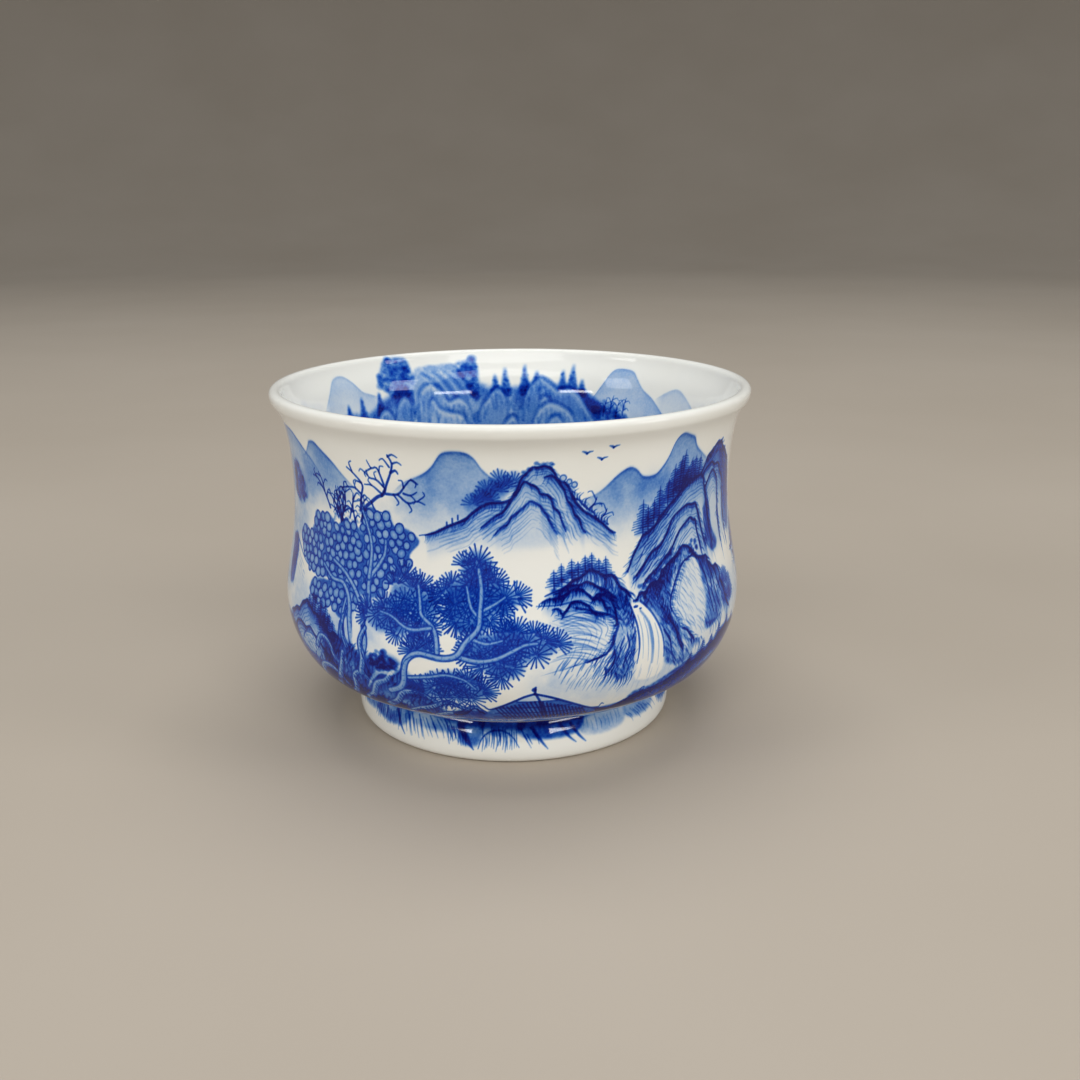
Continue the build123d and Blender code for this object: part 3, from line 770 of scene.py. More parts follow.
def pine(c):
    """The crooked pine in front: pale outlined boughs and fans of needles."""
    for outline in (
        [(-16, 32.4), (-14.4, 34.8), (-12, 34.8), (-10.8, 36.6), (-10, 38.2), (-8.2, 38.8), (-6, 38),
         (-4.4, 36.4), (-3.4, 34.2), (-0.6, 33.2), (1.4, 32.2), (0.6, 31), (-2.4, 30.4), (-5, 29),
         (-6.4, 27.2), (-9.4, 26.6), (-12.6, 27), (-13.6, 28.8), (-14.6, 30.6)],
        [(-28, 32.6), (-25, 34), (-22, 33.8), (-19, 32.6), (-17.2, 30.8), (-17.4, 28), (-19.4, 26),
         (-24, 25.4), (-28, 25.8), (-31, 25.4), (-34, 26.6), (-35.8, 28.2), (-32, 29.6), (-29, 30.4)],
        [(-11, 24.6), (-8.4, 26.4), (-4.6, 26.6), (-2, 27.8), (1.4, 28.2), (3, 26.8), (6.6, 26.6),
         (9.6, 25.6), (8.8, 24.2), (5.6, 22.6), (2.6, 22.4), (1.4, 20.4), (-1.6, 19.8), (-4.4, 20.2),
         (-7.6, 21.8), (-10.4, 23)],
        [(-22, 17), (-19.6, 19.6), (-14, 20.6), (-9, 20.2), (-6, 18.4), (-4.6, 16.8), (-9, 15.8), (-15, 15.6),
         (-20, 15.8)],
        [(-24, 22.8), (-22, 25), (-18.6, 25.6), (-17.6, 24), (-20, 23)],
    ):
        crown(c, outline)
    for line, width in (
        ([(-12.3, 23.1), (-8, 22.5), (-4, 22.9), (0, 24.2), (2.4, 25), (5, 25.2)], 0.6),
        ([(-9.3, 25.9), (-6, 25.2), (-2.5, 25.7)], 0.42),
        ([(-7.4, 28.9), (-9.3, 30.5), (-10.3, 33.4)], 0.42),
        ([(-7, 29.9), (-4, 31), (-1.8, 32)], 0.4),
        ([(-16.8, 23.4), (-17, 25.5), (-17.9, 27.2), (-20.6, 28.8), (-21, 30.4), (-21.6, 33)], 0.55),
        ([(-18.4, 27), (-23.5, 26.5), (-28, 28), (-31, 28.4)], 0.45),
        ([(-24, 18.7), (-19, 19.3), (-15, 19.9), (-11, 19.3), (-8.5, 17.8)], 0.42),
        ([(-30, 15.5), (-27, 16.5), (-25.5, 18), (-25, 20), (-24, 21.8), (-21.2, 23), (-16, 22.6),
          (-12.5, 23.2), (-10.5, 25.2), (-7.7, 27.4), (-7.3, 29.7), (-7, 33), (-7.6, 36)], 0.8),
    ):
        trunk(c, line, width * 1.05)
    for k in range(26):
        a, z = c.rng.uniform(-12, -5), c.rng.uniform(21, 36)
        if abs(z - 28.5) > 3.4:
            c.stroke([(a, z), (a + 0.5, z + 0.9)], 0.18, 0.3)
    c.stroke([(-26.6, 17.6), (-25.4, 20.2), (-24.2, 21.7), (-21, 22.7), (-16, 22.3)], 0.16, 0.5)


def pavilion(c):
    """The thatched roof at the water's edge."""
    c.fill([(-16, 10.6), (-14, 13), (-8, 13.4), (-4, 12.6), (16, 12.4), (20, 12.4), (30, 12.6), (30, 10.6)],
           1.0, soft=0.5, mottle=0.4)
    roof = [(4.5, 16.9), (7, 16.4), (10, 15.6), (14, 14.2), (18.5, 12.9), (19, 11.4), (-5.6, 11.4),
            (-5.4, 13.8), (-2, 14.9), (0.6, 15.8), (2.4, 16.4)]
    c.fill(roof, 0.72, "over", 0.15)
    c.wipe([(1.4, 16.1), (4.5, 16.9), (8.4, 16), (9.6, 15.5), (5.4, 15.4), (0.8, 15.6)], 0.12, 0.15)
    for k in range(13):
        start = 5.6 + 0.9 * k
        c.stroke([(start, 15.4 - 0.19 * k), (start + 1.6, 11.6)], 0.26, 1.1, (1, 1))
    for k in range(11):
        start = 4.6 - 0.9 * k
        c.stroke([(start, 15.4 - 0.13 * k), (start + 2.6, 11.6)], 0.24, 0.9, (1, 1))
    for z, left, right in ((15.4, 0.6, 9.8), (14.2, -3.4, 13.4), (13, -4.6, 16.6), (12, -5, 18.4)):
        c.stroke([(left, z), (right, z)], 0.24, 0.5, (1, 1))
    c.stroke([(-7, 14.5), (-6, 13.8), (-4, 14.2), (0, 15.6), (2.2, 16.4), (4.5, 16.9)], 0.36, 1.0,
             (0.6, 1, 1))
    c.stroke([(4.5, 16.9), (7, 16.4), (10, 15.6), (15, 14), (18, 13), (20.6, 12.7)], 0.36, 1.0, (1, 1, 0.6))
    c.stroke([(4.7, 17), (5.9, 15.3), (6.8, 13.8), (8, 11.6)], 0.34, 0.95, (1, 1))
    c.stroke([(4.6, 16.9), (4.7, 18.1)], 0.36, 1.0, (1, 0.8))
    c.dab((4.4, 17.7), 0.36, 1.0)


def shore(c):
    """The dark far shore on the right, with small firs."""
    line = [(15, 12.4), (20, 12.5), (24, 12), (27, 13), (31, 14), (38, 14.8), (44, 16.2), (50, 17), (55, 18),
            (60, 19.4), (66, 19.6), (72, 18.6), (78, 17.4)]
    c.fill(line + [(78, 10.6), (15, 10.6)], 1.0, mottle=0.4)
    c.ridge(line, 0.4, 1.6, 0.3, 0.3, ends=0.5)
    c.comb(line[3:], 2.4, -70, ink=0.5, width=0.3)
    for a, z, height in ((46, 16, 2.8), (50.6, 17, 3.2), (54.4, 17.8, 2.4), (58.2, 18.6, 2.8),
                         (63.4, 19.2, 2.6), (68, 18.8, 2.4)):
        fir(c, a, z, height, 0.95)
    cloud_of_leaves(c, [(27, 12.6), (29.6, 14.6), (34, 15), (39, 16.2), (45, 17.4), (52, 18.4), (60, 20.2),
                        (66, 20.2), (72, 19.2), (60, 17.6), (44, 14.4)], 0.5, 0.5)
    for reed in ([(31.2, 14), (31.6, 15), (32.4, 15), (32.2, 14.2)],
                 [(20.8, 12.4), (21.3, 13.5), (22, 13.2)]):
        c.stroke(reed, 0.22)
    c.stroke([(45, 13), (52, 14.6), (60, 15.6), (70, 15.4)], 0.8, 0.4, (0.3, 1, 0.5), "lift", 0.5)


def lay_out(c, motifs):
    """Paints each motif with its place, (degrees, mm), as the canvas's origin."""
    for motif, degrees, lift in motifs:
        c.origin = (degrees, lift)
        motif(c)
    c.origin = (0, 0)


def paint_outside(c):
    """Mist and far peaks, the side away from the camera, and then the side in the photo. The far side
    has the same scenery, laid out in another order."""
    far_peaks(c)
    lay_out(c, [(mist, turn, 0) for turn in (0, 120, 240)])
    lay_out(c, (
        (central_mountain, 118, -0.6), (right_cliffs, 108, 0), (central_mountain, -112, -0.2),
        (waterfall_rocks, 128, -0.4), (shore, 62, 0), (shore, 118, 0), (shore, -190, 0),
        (shore, -128, 0), (waterfall_rocks, 66, 0.4), (leafy_tree, 212, 0), (left_bank, 212, 0),
        (pavilion, 130, 0), (right_cliffs, -192, -5), (left_bank, -66, 0), (pine, -110, 0),
    ))
    birds(c, [(106, 54), (109, 53.2), (112, 54.3), (-142, 53.6), (-139, 52.8), (16.2, 53), (19.8, 51.9),
              (22.2, 53.6)])
    for motif in (central_mountain, right_cliffs, waterfall_rocks, shore, leafy_tree, left_bank, pavilion,
                  pine):
        motif(c)


# ---------------------------------------------------------- the landscape inside and on the foot

def dome(c, line, low, body=0.4):
    """A rounded inner crag, soft all over: a blue body, a pale band under the crest and a dark edge."""
    c.fill(line + [(line[-1][0], low), (line[0][0], low)], 0.08 + 1.15 * body, "over", 0.45, mottle=0.9)
    c.stroke(line, 0.7, 0.5, (0.5, 1, 0.8, 1, 0.5), soft=0.7)
    c.stroke(np.array(line) - (0, 0.9), 1.2, 0.4, (0.3, 1, 0.6, 1, 0.2), "lift", 1.0)
    for spot in smooth(c.mm(line), 1.6)[1:-1]:
        top = spot - (0, c.rng.uniform(1.0, 2.0))
        foot = top - (c.rng.normal(0, 0.5), c.rng.uniform(1.4, 3.0))
        c.line(np.array([top, foot]), 0.7, c.rng.uniform(0.1, 0.4), (0.4, 1, 0.2), soft=0.7)


def paint_inside(c):
    """The same kind of scenery on the inner wall, above the drinking well."""
    c.ridge([(-70, 50), (-65, 53), (-61, 55), (-57, 55.2), (-54, 54), (-51, 52), (-48, 51.2), (-44, 50.4)],
            0.2, 8, 0.06)
    c.ridge([(26, 48), (30, 51.6), (32.6, 54), (35, 54.7), (39.6, 54.5), (42, 53.2), (45, 51.4), (49, 50),
             (53, 48), (56, 46.6)], 0.28, 14, 0.08, ends=1)
    c.ridge([(50, 50), (56, 52), (60, 52.4), (66, 50.6), (72, 48)], 0.16, 6, 0.05)
    ground = [(-64, 47.6), (-56, 48.2), (-50, 47.4), (-44, 49.4), (-40, 50.4), (-34, 51), (-20, 50),
              (-14, 52), (-9, 51), (-4, 50.4), (2, 50.4), (8, 51), (14, 51), (20, 50.6), (25, 49.6), (30, 48),
              (36, 46.6), (42, 44)]
    c.fill(ground + [(38, 41), (30, 36), (10, 33), (-30, 33), (-50, 37), (-60, 43)], 0.72, soft=0.9,
           mottle=0.5)
    for a, z, height in ((-58, 47.6, 2.6), (-52, 47.6, 3.4), (-44.8, 48, 3.4), (-5, 50, 3.0), (-1.8, 50, 4.2),
                         (4.4, 50, 4.7), (8.2, 51, 2.6), (16.6, 50.4, 3.4), (19.7, 50.4, 4.6), (23, 50, 2.2)):
        half = 0.9 + 0.22 * height
        c.fill([(a - half, z - 1), (a - 0.5, z + 0.7 * height), (a, z + height), (a + 0.5, z + 0.7 * height),
                (a + half, z - 1)], 0.75, soft=0.35)
        scrub(c, [(a - half, z - 1), (a, z + 0.9 * height), (a + half, z - 1)], 0.3, 0.3, 0.6, 0.4)
    c.fill([(-31.6, 46), (-32, 52), (-30.4, 54.6), (-24, 55), (-17, 54.8), (-13, 51), (-11, 46)], 0.36,
           "over", 0.5, mottle=0.8)
    for start in (-28, -24.6, -21, -18):
        c.stroke([(start, 53.8), (start + 3.4, 52), (start + 7, 48.6)], 1.1, 0.42, (0.3, 1, 0.6), soft=0.8)
    for region in (
        [(-43.6, 52), (-44, 53.6), (-41.6, 55.4), (-40, 56.8), (-36, 57.2), (-32.4, 56.4), (-31.6, 53),
         (-33.4, 50), (-38, 49.6)],
        [(-17.6, 54.6), (-16, 55.6), (-14, 55.4), (-12, 56.4), (-10.4, 54.4), (-10.2, 49), (-12, 48),
         (-15, 52)],
        [(22, 50.6), (25, 50), (30, 47.4), (29, 45), (24, 47.4)],
    ):
        c.fill(region, 0.5, soft=0.5, mottle=0.7)
        scrub(c, region, 0.7, 0.42, 1.2, 0.7)
        scrub(c, region, 0.3, 0.3, 0.8, 0.4)
    for line, low, body in (
        ([(-47, 45), (-45, 47.4), (-42.4, 48), (-40.4, 46.6), (-39, 44)], 38, 0.4),
        ([(-39.6, 46), (-38, 48.6), (-36, 50), (-34, 49.2), (-32.6, 46)], 38, 0.42),
        ([(-31.2, 44), (-30.6, 49.4), (-28.6, 51.4), (-26, 51.8), (-22.6, 50.6), (-20.4, 48.4), (-17, 49),
          (-14, 47.4), (-12.4, 44)], 38, 0.3),
        ([(-27.8, 43), (-27, 47.6), (-25.6, 49), (-23.6, 47.2), (-20, 46.2), (-16, 45.4), (-13.6, 42)], 37,
         0.2),
        ([(-10.6, 44), (-9.8, 46.6), (-7.4, 48.6), (-5, 50.4), (-2.6, 49.8), (-1.2, 47), (-1.6, 43)], 38,
         0.38),
        ([(4, 44), (4.6, 48.4), (6.8, 51.2), (9.4, 52.4), (12.6, 51.6), (15.4, 50.2), (19, 50.6),
          (22.6, 49.2), (25, 47), (29, 44)], 38, 0.48),
        ([(8.8, 46.4), (9.6, 48.2), (11.2, 49), (12.8, 48), (13.4, 46)], 44, 0.3),
        ([(7, 43), (8.8, 46), (11.6, 47.6), (14.6, 47.6), (17.6, 46.8), (20.2, 45.4), (22, 42)], 38, 0.3),
        ([(11, 42), (13, 44.6), (16, 45), (18.4, 42)], 38, 0.4),
        ([(-3.4, 42), (-1.6, 44), (0.6, 45), (2.2, 43.6), (3, 41)], 38, 0.24),
    ):
        dome(c, line, low, body)
    scrub(c, [(29, 45), (31.4, 49), (35, 48), (39, 48.6), (40, 45)], 0.4, 0.45, 0.8, 0.6)
    for a, z in ((31, 46.6), (33.4, 47.4), (35.6, 46.6), (38, 47.2)):
        twig(c, [(a, z - 1), (a + 0.3, z + 0.6), (a + 1, z + 2.2)], 0.4, 0.5, 3)
    lay_out(c, (
        (central_mountain, 92, 0.6), (right_cliffs, 62, 0.4), (pine, 160, 0), (leafy_tree, 190, 0),
        (left_bank, 196, 0), (central_mountain, 196, 1), (right_cliffs, 176, 0.4),
        (central_mountain, -96, 0.6),
    ))
    height = c.low + np.arange(c.rows) * CELL
    c.ink *= 0.78 * np.clip((height - 30) / 9, 0, 1)[:, None] ** 0.7    # pales into the white well


def water_rocks(c):
    """A third of the foot's border: a dark wash under the bowl, and strokes that hang from it."""
    for left, right, low, ink in (
        (-58, -40, 3.6, 0.42), (-42, -18, 4.6, 0.3), (-20, -11, 3.0, 0.5), (-12, 3, 4.8, 0.42),
        (1, 23, 4.2, 0.8), (22, 42, 3.6, 0.22), (42, 60, 4.0, 0.3), (-30, 25, 5.9, 0.6),
    ):
        c.fill([(left, 7.4), (right, 7.4), (right - 1, low + 0.7), ((left + right) / 2, low),
                (left + 1, low + 0.8)], ink, soft=0.5, pool=0.2, mottle=0.4)
    for left, right, top, low, lean, gap, ink in (
        (-59, -44, 5.6, 3.0, -82, 0.34, 0.55), (-42, -34, 6.0, 2.8, -70, 0.5, 0.5),
        (-34, -22, 6.0, 3.6, -58, 0.7, 0.4), (-24, -18, 5.6, 2.8, -78, 0.4, 0.5),
        (-11, 1, 5.4, 2.5, -90, 0.36, 0.5), (2, 6, 5.4, 3.0, -62, 0.5, 0.6),
        (24, 40, 6.2, 4.4, -86, 0.8, 0.16), (43, 58, 5.4, 3.6, -50, 0.6, 0.35),
    ):
        for a in np.arange(left, right, gap / c.scale):
            end = low + c.rng.uniform(-0.3, 0.9)
            start = top + c.rng.uniform(-0.6, 0.8)
            slant = (start - end) / math.tan(math.radians(-lean)) / c.scale
            bow = c.rng.uniform(0, 0.7)
            c.stroke([(a, start), (a + 0.5 * slant + bow, (start + end) / 2), (a + slant, end)], 0.24,
                     ink * c.rng.uniform(0.7, 1.3), (0.7, 1, 0.25))
    for a, tip, width in ((-19, 2.4, 1.1), (6, 2.5, 0.5), (16, 3.0, 0.45), (19.6, 2.8, 0.5), (-46, 2.5, 0.5)):
        c.stroke([(a, 6), (a + 2.4, 4.2), (a + 5, tip)], width, 0.8, (1, 0.9, 0.1), soft=0.25)
    c.stroke([(-12.4, 2.6), (-11, 4.4), (-8, 5.5), (-4, 5.6), (-0.6, 4.6), (1.4, 3)], 0.3, 0.6)


def paint_foot(c):
    lay_out(c, [(water_rocks, turn, 0) for turn in (0, 122, 244)])


# ---------------------------------------------------------------------------------- glaze meshes

MM = 0.001
GLAZE = 0.25 * MM     # thickness of the glaze, as in the frame
MOST_INK = 1.6        # the darkest that a spot can get
APART = 0.3 * MM      # least distance between the points taken from the frame's outline
ROW = 0.12 * MM       # between the rows of a shell's painted face
INNER_ROW = 0.13 * MM
FINE = 0.03 * MM      # between those close to its ends
EDGE = 0.5 * MM       # how far from the ends the fine rows reach
BACK_ROW = 2.5 * MM   # between the rows of a shell's back, which isn't seen


def smooth_object(name, vertices, quads, tris):
    """A smooth-shaded object in the scene, from arrays of places, quads and triangles."""
    mesh = bpy.data.meshes.new(name)
    mesh.vertices.add(len(vertices))
    mesh.vertices.foreach_set("co", vertices.astype(np.float32).ravel())
    corners = np.concatenate([quads.ravel(), tris.ravel()]).astype(np.int32)
    mesh.loops.add(len(corners))
    mesh.loops.foreach_set("vertex_index", corners)
    sizes = np.concatenate([np.full(len(quads), 4), np.full(len(tris), 3)])
    mesh.polygons.add(len(sizes))
    mesh.polygons.foreach_set("loop_start", (np.cumsum(sizes) - sizes).astype(np.int32))
    mesh.polygons.foreach_set("use_smooth", np.ones(len(sizes), bool))
    mesh.update(calc_edges=True)
    made = bpy.data.objects.new(name, mesh)
    bpy.context.scene.collection.objects.link(made)
    return made


def values_of(items, attribute, width, kind=float):
    """One attribute of all the vertices, edges, loops or faces of a mesh, in rows of width numbers."""
    values = np.zeros(len(items) * width, kind)
    items.foreach_get(attribute, values)
    return values.reshape(-1, width)


def outline_of(node, wanted, order):
    """The (radius, height) line of one turned surface, through the frame's own vertices.
    wanted picks the faces of that surface from how much they face outwards and upwards, and order
    sorts the line's points by radius and height. Crowded points are left out."""
    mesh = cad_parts[node].data
    places = values_of(mesh.vertices, "co", 3)
    normals = values_of(mesh.polygons, "normal", 3)
    centres = values_of(mesh.polygons, "center", 3)
    outward = (normals[:, :2] * centres[:, :2]).sum(1) / np.maximum(np.hypot(*centres[:, :2].T), 1e-9)
    corners = values_of(mesh.loops, "vertex_index", 1, np.int32)[:, 0]
    counts = values_of(mesh.polygons, "loop_total", 1, np.int32)[:, 0]
    chosen = np.repeat(wanted(outward, normals[:, 2]), counts)
    used = places[np.unique(corners[chosen])]
    line = np.column_stack([np.hypot(used[:, 0], used[:, 1]), used[:, 2]])
    line = line[order(*line.T)]
    kept = [line[0]]
    for p in line[1:-1]:
        if math.hypot(*(p - kept[-1])) > APART:
            kept.append(p)
    if math.hypot(*(line[-1] - kept[-1])) < APART and len(kept) > 1:
        kept.pop()
    kept.append(line[-1])
    return np.array(kept)


def spline(points, where):
    """A natural cubic spline through points, by chord length, and its direction, at the shares where."""
    lengths = np.concatenate([[0], np.cumsum(np.hypot(*np.diff(points, axis=0).T))])
    n = len(points)
    h = np.diff(lengths)
    a = np.eye(n)
    b = np.zeros((n, 2))
    for i in range(1, n - 1):
        a[i, i - 1:i + 2] = h[i - 1], 2 * (h[i - 1] + h[i]), h[i]
        b[i] = 6 * ((points[i + 1] - points[i]) / h[i] - (points[i] - points[i - 1]) / h[i - 1])
    m = np.linalg.solve(a, b)
    s = np.asarray(where) * lengths[-1]
    i = np.clip(np.searchsorted(lengths, s, "right") - 1, 0, n - 2)
    t, step = (s - lengths[i])[:, None], h[i][:, None]
    u = step - t
    place = (m[i] * u**3 + m[i + 1] * t**3) / (6 * step)
    place += (points[i] / step - m[i] * step / 6) * u + (points[i + 1] / step - m[i + 1] * step / 6) * t
    slope = (m[i + 1] * t**2 - m[i] * u**2) / (2 * step)
    slope += (points[i + 1] - points[i]) / step - (m[i + 1] - m[i]) * step / 6
    return place, slope / np.hypot(*slope.T)[:, None], lengths[-1]


def turned_shell(name, points, canvas, turn, step):
    """A closed glaze shell round the z axis, from the canvas's painted face back to the clay, which
    lies on the left of the outline's direction. turn is +1 for a canvas that is seen from outside and
    -1 for one that is seen from inside."""
    length = spline(points, [0, 1])[2]
    near = np.arange(0, EDGE, FINE)
    shares = np.concatenate([near, np.arange(EDGE, length - EDGE, step), length - near[::-1]]) / length
    line, _, _ = spline(points, shares)
    line[0], line[-1] = points[0], points[-1]
    back_shares = np.concatenate([[0], np.linspace(0.01, 0.99, max(6, int(length / BACK_ROW))), [1]])
    back, back_way, _ = spline(points, back_shares)
    back[0], back[-1] = points[0], points[-1]
    back = back + GLAZE * np.column_stack([-back_way[:, 1], back_way[:, 0]])
    pole = line[-1, 0] < 0.05 * MM    # the line ends on the axis
    rings = np.vstack([line[:-1] if pole else line, back[:-1][::-1] if pole else back[::-1]])
    n, m = canvas.columns, len(rings)
    turns = np.arange(n) / n * 2 * math.pi
    east, north = np.sin(turns), -turn * np.cos(turns)
    places = np.zeros((m, n, 3))
    places[:, :, 0] = rings[:, None, 0] * east
    places[:, :, 1] = rings[:, None, 0] * north
    places[:, :, 2] = rings[:, None, 1]
    index = np.arange(m * n).reshape(m, n)
    front = len(line) - 1 if pole else len(line)
    after = np.roll(index, -1, 1)
    joined = np.array([k for k in range(m) if not (pole and k == front - 1)])
    nxt = (joined + 1) % m
    quads = np.stack([index[joined], after[joined], after[nxt], index[nxt]], -1).reshape(-1, 4)
    vertices = places.reshape(-1, 3)
    tris = np.zeros((0, 3), int)
    if pole:
        tips = np.array([[0, 0, line[-1, 1]], [0, 0, back[-1, 1]]])
        vertices = np.vstack([vertices, tips])
        top, under = m * n, m * n + 1
        tris = np.concatenate([
            np.column_stack([index[front - 1], after[front - 1], np.full(n, top)]),
            np.column_stack([after[front], index[front], np.full(n, under)]),
        ])
    if turn < 0:
        quads, tris = quads[:, ::-1], tris[:, ::-1]
    piece = smooth_object(name, vertices, quads, tris)
    mesh = piece.data

    # The rims of the painted face and of the back stay sharp.
    ends = np.zeros(len(vertices), int)
    ends[index[0]] = 1
    ends[index[m - 1]] = 2
    if not pole:
        ends[index[front - 1]] = 3
        ends[index[front]] = 4
    pairs = values_of(mesh.edges, "vertices", 2, np.int32)
    sharp = (ends[pairs[:, 0]] == ends[pairs[:, 1]]) & (ends[pairs[:, 0]] > 0)
    mesh.attributes.new("sharp_edge", "BOOLEAN", "EDGE").data.foreach_set("value", sharp)

    cobalt = np.zeros(len(vertices))
    place = np.clip((rings[:front, 1] / MM - canvas.low) / CELL, 0, canvas.rows - 1.001)
    lower = place.astype(int)
    share = (place - lower)[:, None]
    painted = canvas.ink[lower] * (1 - share) + canvas.ink[lower + 1] * share
    cobalt[:front * n] = np.clip(painted, 0, MOST_INK).ravel()
    mesh.attributes.new("cobalt", "FLOAT", "POINT").data.foreach_set("value", cobalt.astype(np.float32))
    return piece


outside = Canvas(7.0, 57.6, 0.66, seed=3)
paint_outside(outside)
inside = Canvas(10.0, 57.6, 0.61, seed=8)
paint_inside(inside)
foot = Canvas(0.0, 7.2, 0.47, seed=12)
paint_foot(foot)


def outward_faces(out, up):
    return out > 0.02


def inward_faces(out, up):
    return (out < -0.02) | ((up > 0.5) & (abs(out) <= 0.02))


def upwards(radius, height):
    return np.argsort(height)


def downwards(radius, height):
    return np.lexsort((-radius, -np.round(height, 6)))


outer_line = outline_of("outer_glaze", outward_faces, upwards)
foot_line = outline_of("foot_glaze", outward_faces, upwards)
inner_line = outline_of("inner_glaze", inward_faces, downwards)

# The frame's inner wall has a slight ripple where the well begins, and the glaze runs smoothly over it.
RIPPLE = (24.0 * MM, 31.0 * MM)
rippled = (inner_line[:, 1] > RIPPLE[0]) & (inner_line[:, 1] < RIPPLE[1])
inner_line = inner_line[~rippled]

painted_outer = turned_shell("painted_outer_glaze", outer_line, outside, 1, ROW)
painted_foot = turned_shell("painted_foot_glaze", foot_line, foot, 1, ROW)
painted_inner = turned_shell("painted_inner_glaze", inner_line, inside, -1, INNER_ROW)


# ------------------------------------------------------------------------------------- materials

def node(tree, kind, **settings):
    """A new shader node, to the left of those made before it."""
    item = tree.nodes.new(kind)
    item.location = (-220 * len(tree.nodes), 0)
    for key, value in settings.items():
        setattr(item, key, value)
    return item


def noise(tree, scale, detail, rough=0.55):
    """Noise in the object's own space. scale is in waves per metre."""
    where = node(tree, "ShaderNodeTexCoord")
    item = node(tree, "ShaderNodeTexNoise")
    item.inputs["Scale"].default_value = scale
    item.inputs["Detail"].default_value = detail
    item.inputs["Roughness"].default_value = rough
    tree.links.new(where.outputs["Object"], item.inputs["Vector"])
    return item.outputs["Fac"]


def spread(tree, value, low, high, start=0.3, stop=0.7):
    """The value's range from start to stop, spread out from low to high."""
    item = node(tree, "ShaderNodeMapRange")
    limits = {"From Min": start, "From Max": stop, "To Min": low, "To Max": high}
    for socket, limit in limits.items():
        item.inputs[socket].default_value = limit
    tree.links.new(value, item.inputs["Value"])
    return item.outputs["Result"]


def ramp(tree, value, stops):
    """The colour that (position, colour) stops give for a value."""
    item = node(tree, "ShaderNodeValToRGB")
    bar = item.color_ramp.elements
    while len(bar) < len(stops):
        bar.new(0.5)
    for element, (position, colour) in zip(bar, stops):
        element.position = position
        element.color = (*colour, 1)
    tree.links.new(value, item.inputs["Fac"])
    return item.outputs["Color"]


def product(tree, first, second):
    item = node(tree, "ShaderNodeMath", operation="MULTIPLY")
    tree.links.new(first, item.inputs[0])
    tree.links.new(second, item.inputs[1])
    return item.outputs[0]


def material(name):
    made = bpy.data.materials.new(name)
    made.use_nodes = True
    return made, made.node_tree, made.node_tree.nodes["Principled BSDF"]


def relief(tree, shader, value, distance, strength=1.0):
    """Makes the value a bump on the shader, distance metres high."""
    bump = node(tree, "ShaderNodeBump")
    bump.inputs["Distance"].default_value = distance
    bump.inputs["Strength"].default_value = strength
    tree.links.new(value, bump.inputs["Height"])
    tree.links.new(bump.outputs["Normal"], shader.inputs["Normal"])


# How strongly red, green and blue light are held back by the ink, and by the ink squared.
DENSITY = ((4.2, 1.6), (2.82, 0), (0.71, 0))
SHARES = (0, 0.04, 0.09, 0.15, 0.22, 0.31, 0.43, 0.6, 1)    # where the colour ramp has its stops


def cobalt_colour(share):
    """What a share of the most ink lets through. Dark strokes pool, so they count for more."""
    ink = share * MOST_INK
    ink += 0.25 * ink**3
    return tuple(math.exp(-first * ink - second * ink**2) for first, second in DENSITY)


def glazed(name, painted):
    """Clear glaze on white porcelain, with cobalt under it where the piece is painted."""
    made, tree, shader = material(name)
    patches = noise(tree, scale=45, detail=3)
    white = ramp(tree, patches, [(0.35, (0.80, 0.803, 0.762)), (0.65, (0.825, 0.832, 0.80))])
    if painted:
        ink = node(tree, "ShaderNodeAttribute", attribute_name="cobalt").outputs["Fac"]
        grains = spread(tree, noise(tree, scale=2600, detail=2), 0.87, 1.13)
        pools = spread(tree, noise(tree, scale=420, detail=3), 0.92, 1.08)
        amount = product(tree, product(tree, ink, grains), pools)
        share = spread(tree, amount, 0, 1, 0, MOST_INK)
        cobalt = ramp(tree, share, [(s, cobalt_colour(s)) for s in SHARES])
        mix = node(tree, "ShaderNodeMix", data_type="RGBA", blend_type="MULTIPLY")
        mix.inputs["Factor"].default_value = 1.0
        tree.links.new(white, mix.inputs[6])
        tree.links.new(cobalt, mix.inputs[7])
        tree.links.new(mix.outputs[2], shader.inputs["Base Color"])
    else:
        tree.links.new(white, shader.inputs["Base Color"])
    gloss = spread(tree, noise(tree, scale=300, detail=3), 0.03, 0.06)
    tree.links.new(gloss, shader.inputs["Roughness"])
    shader.inputs["IOR"].default_value = 1.52
    shader.inputs["Specular IOR Level"].default_value = 0.22
    relief(tree, shader, noise(tree, scale=260, detail=2), 0.006 * MM)
    return made


def bare_clay(name, low, high, grain):
    """Unglazed fired clay: matt, with a fine grain and a few darker specks."""
    made, tree, shader = material(name)
    speckle = noise(tree, grain, detail=4, rough=0.7)
    tree.links.new(ramp(tree, speckle, [(0.28, low), (0.42, high)]), shader.inputs["Base Color"])
    tree.links.new(spread(tree, speckle, 0.62, 0.42), shader.inputs["Roughness"])
    relief(tree, shader, noise(tree, scale=3500, detail=4), 0.02 * MM, 0.6)
    return made


LOOKS = {
    "bowl_body": bare_clay("fired_porcelain", (0.68, 0.66, 0.60), (0.80, 0.79, 0.74), 900),
    "foot_ring": bare_clay("bare_foot_porcelain", (0.60, 0.55, 0.46), (0.78, 0.755, 0.69), 1100),
    "foot_joint_slip": bare_clay("joint_slip", (0.62, 0.60, 0.54), (0.74, 0.725, 0.67), 1600),
    "recess_glaze": glazed("clear_recess_glaze", False),
}
for name, look in LOOKS.items():
    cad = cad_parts[name].data
    if not cad.materials:
        cad.materials.append(look)
    for index in range(len(cad.materials)):
        cad.materials[index] = look

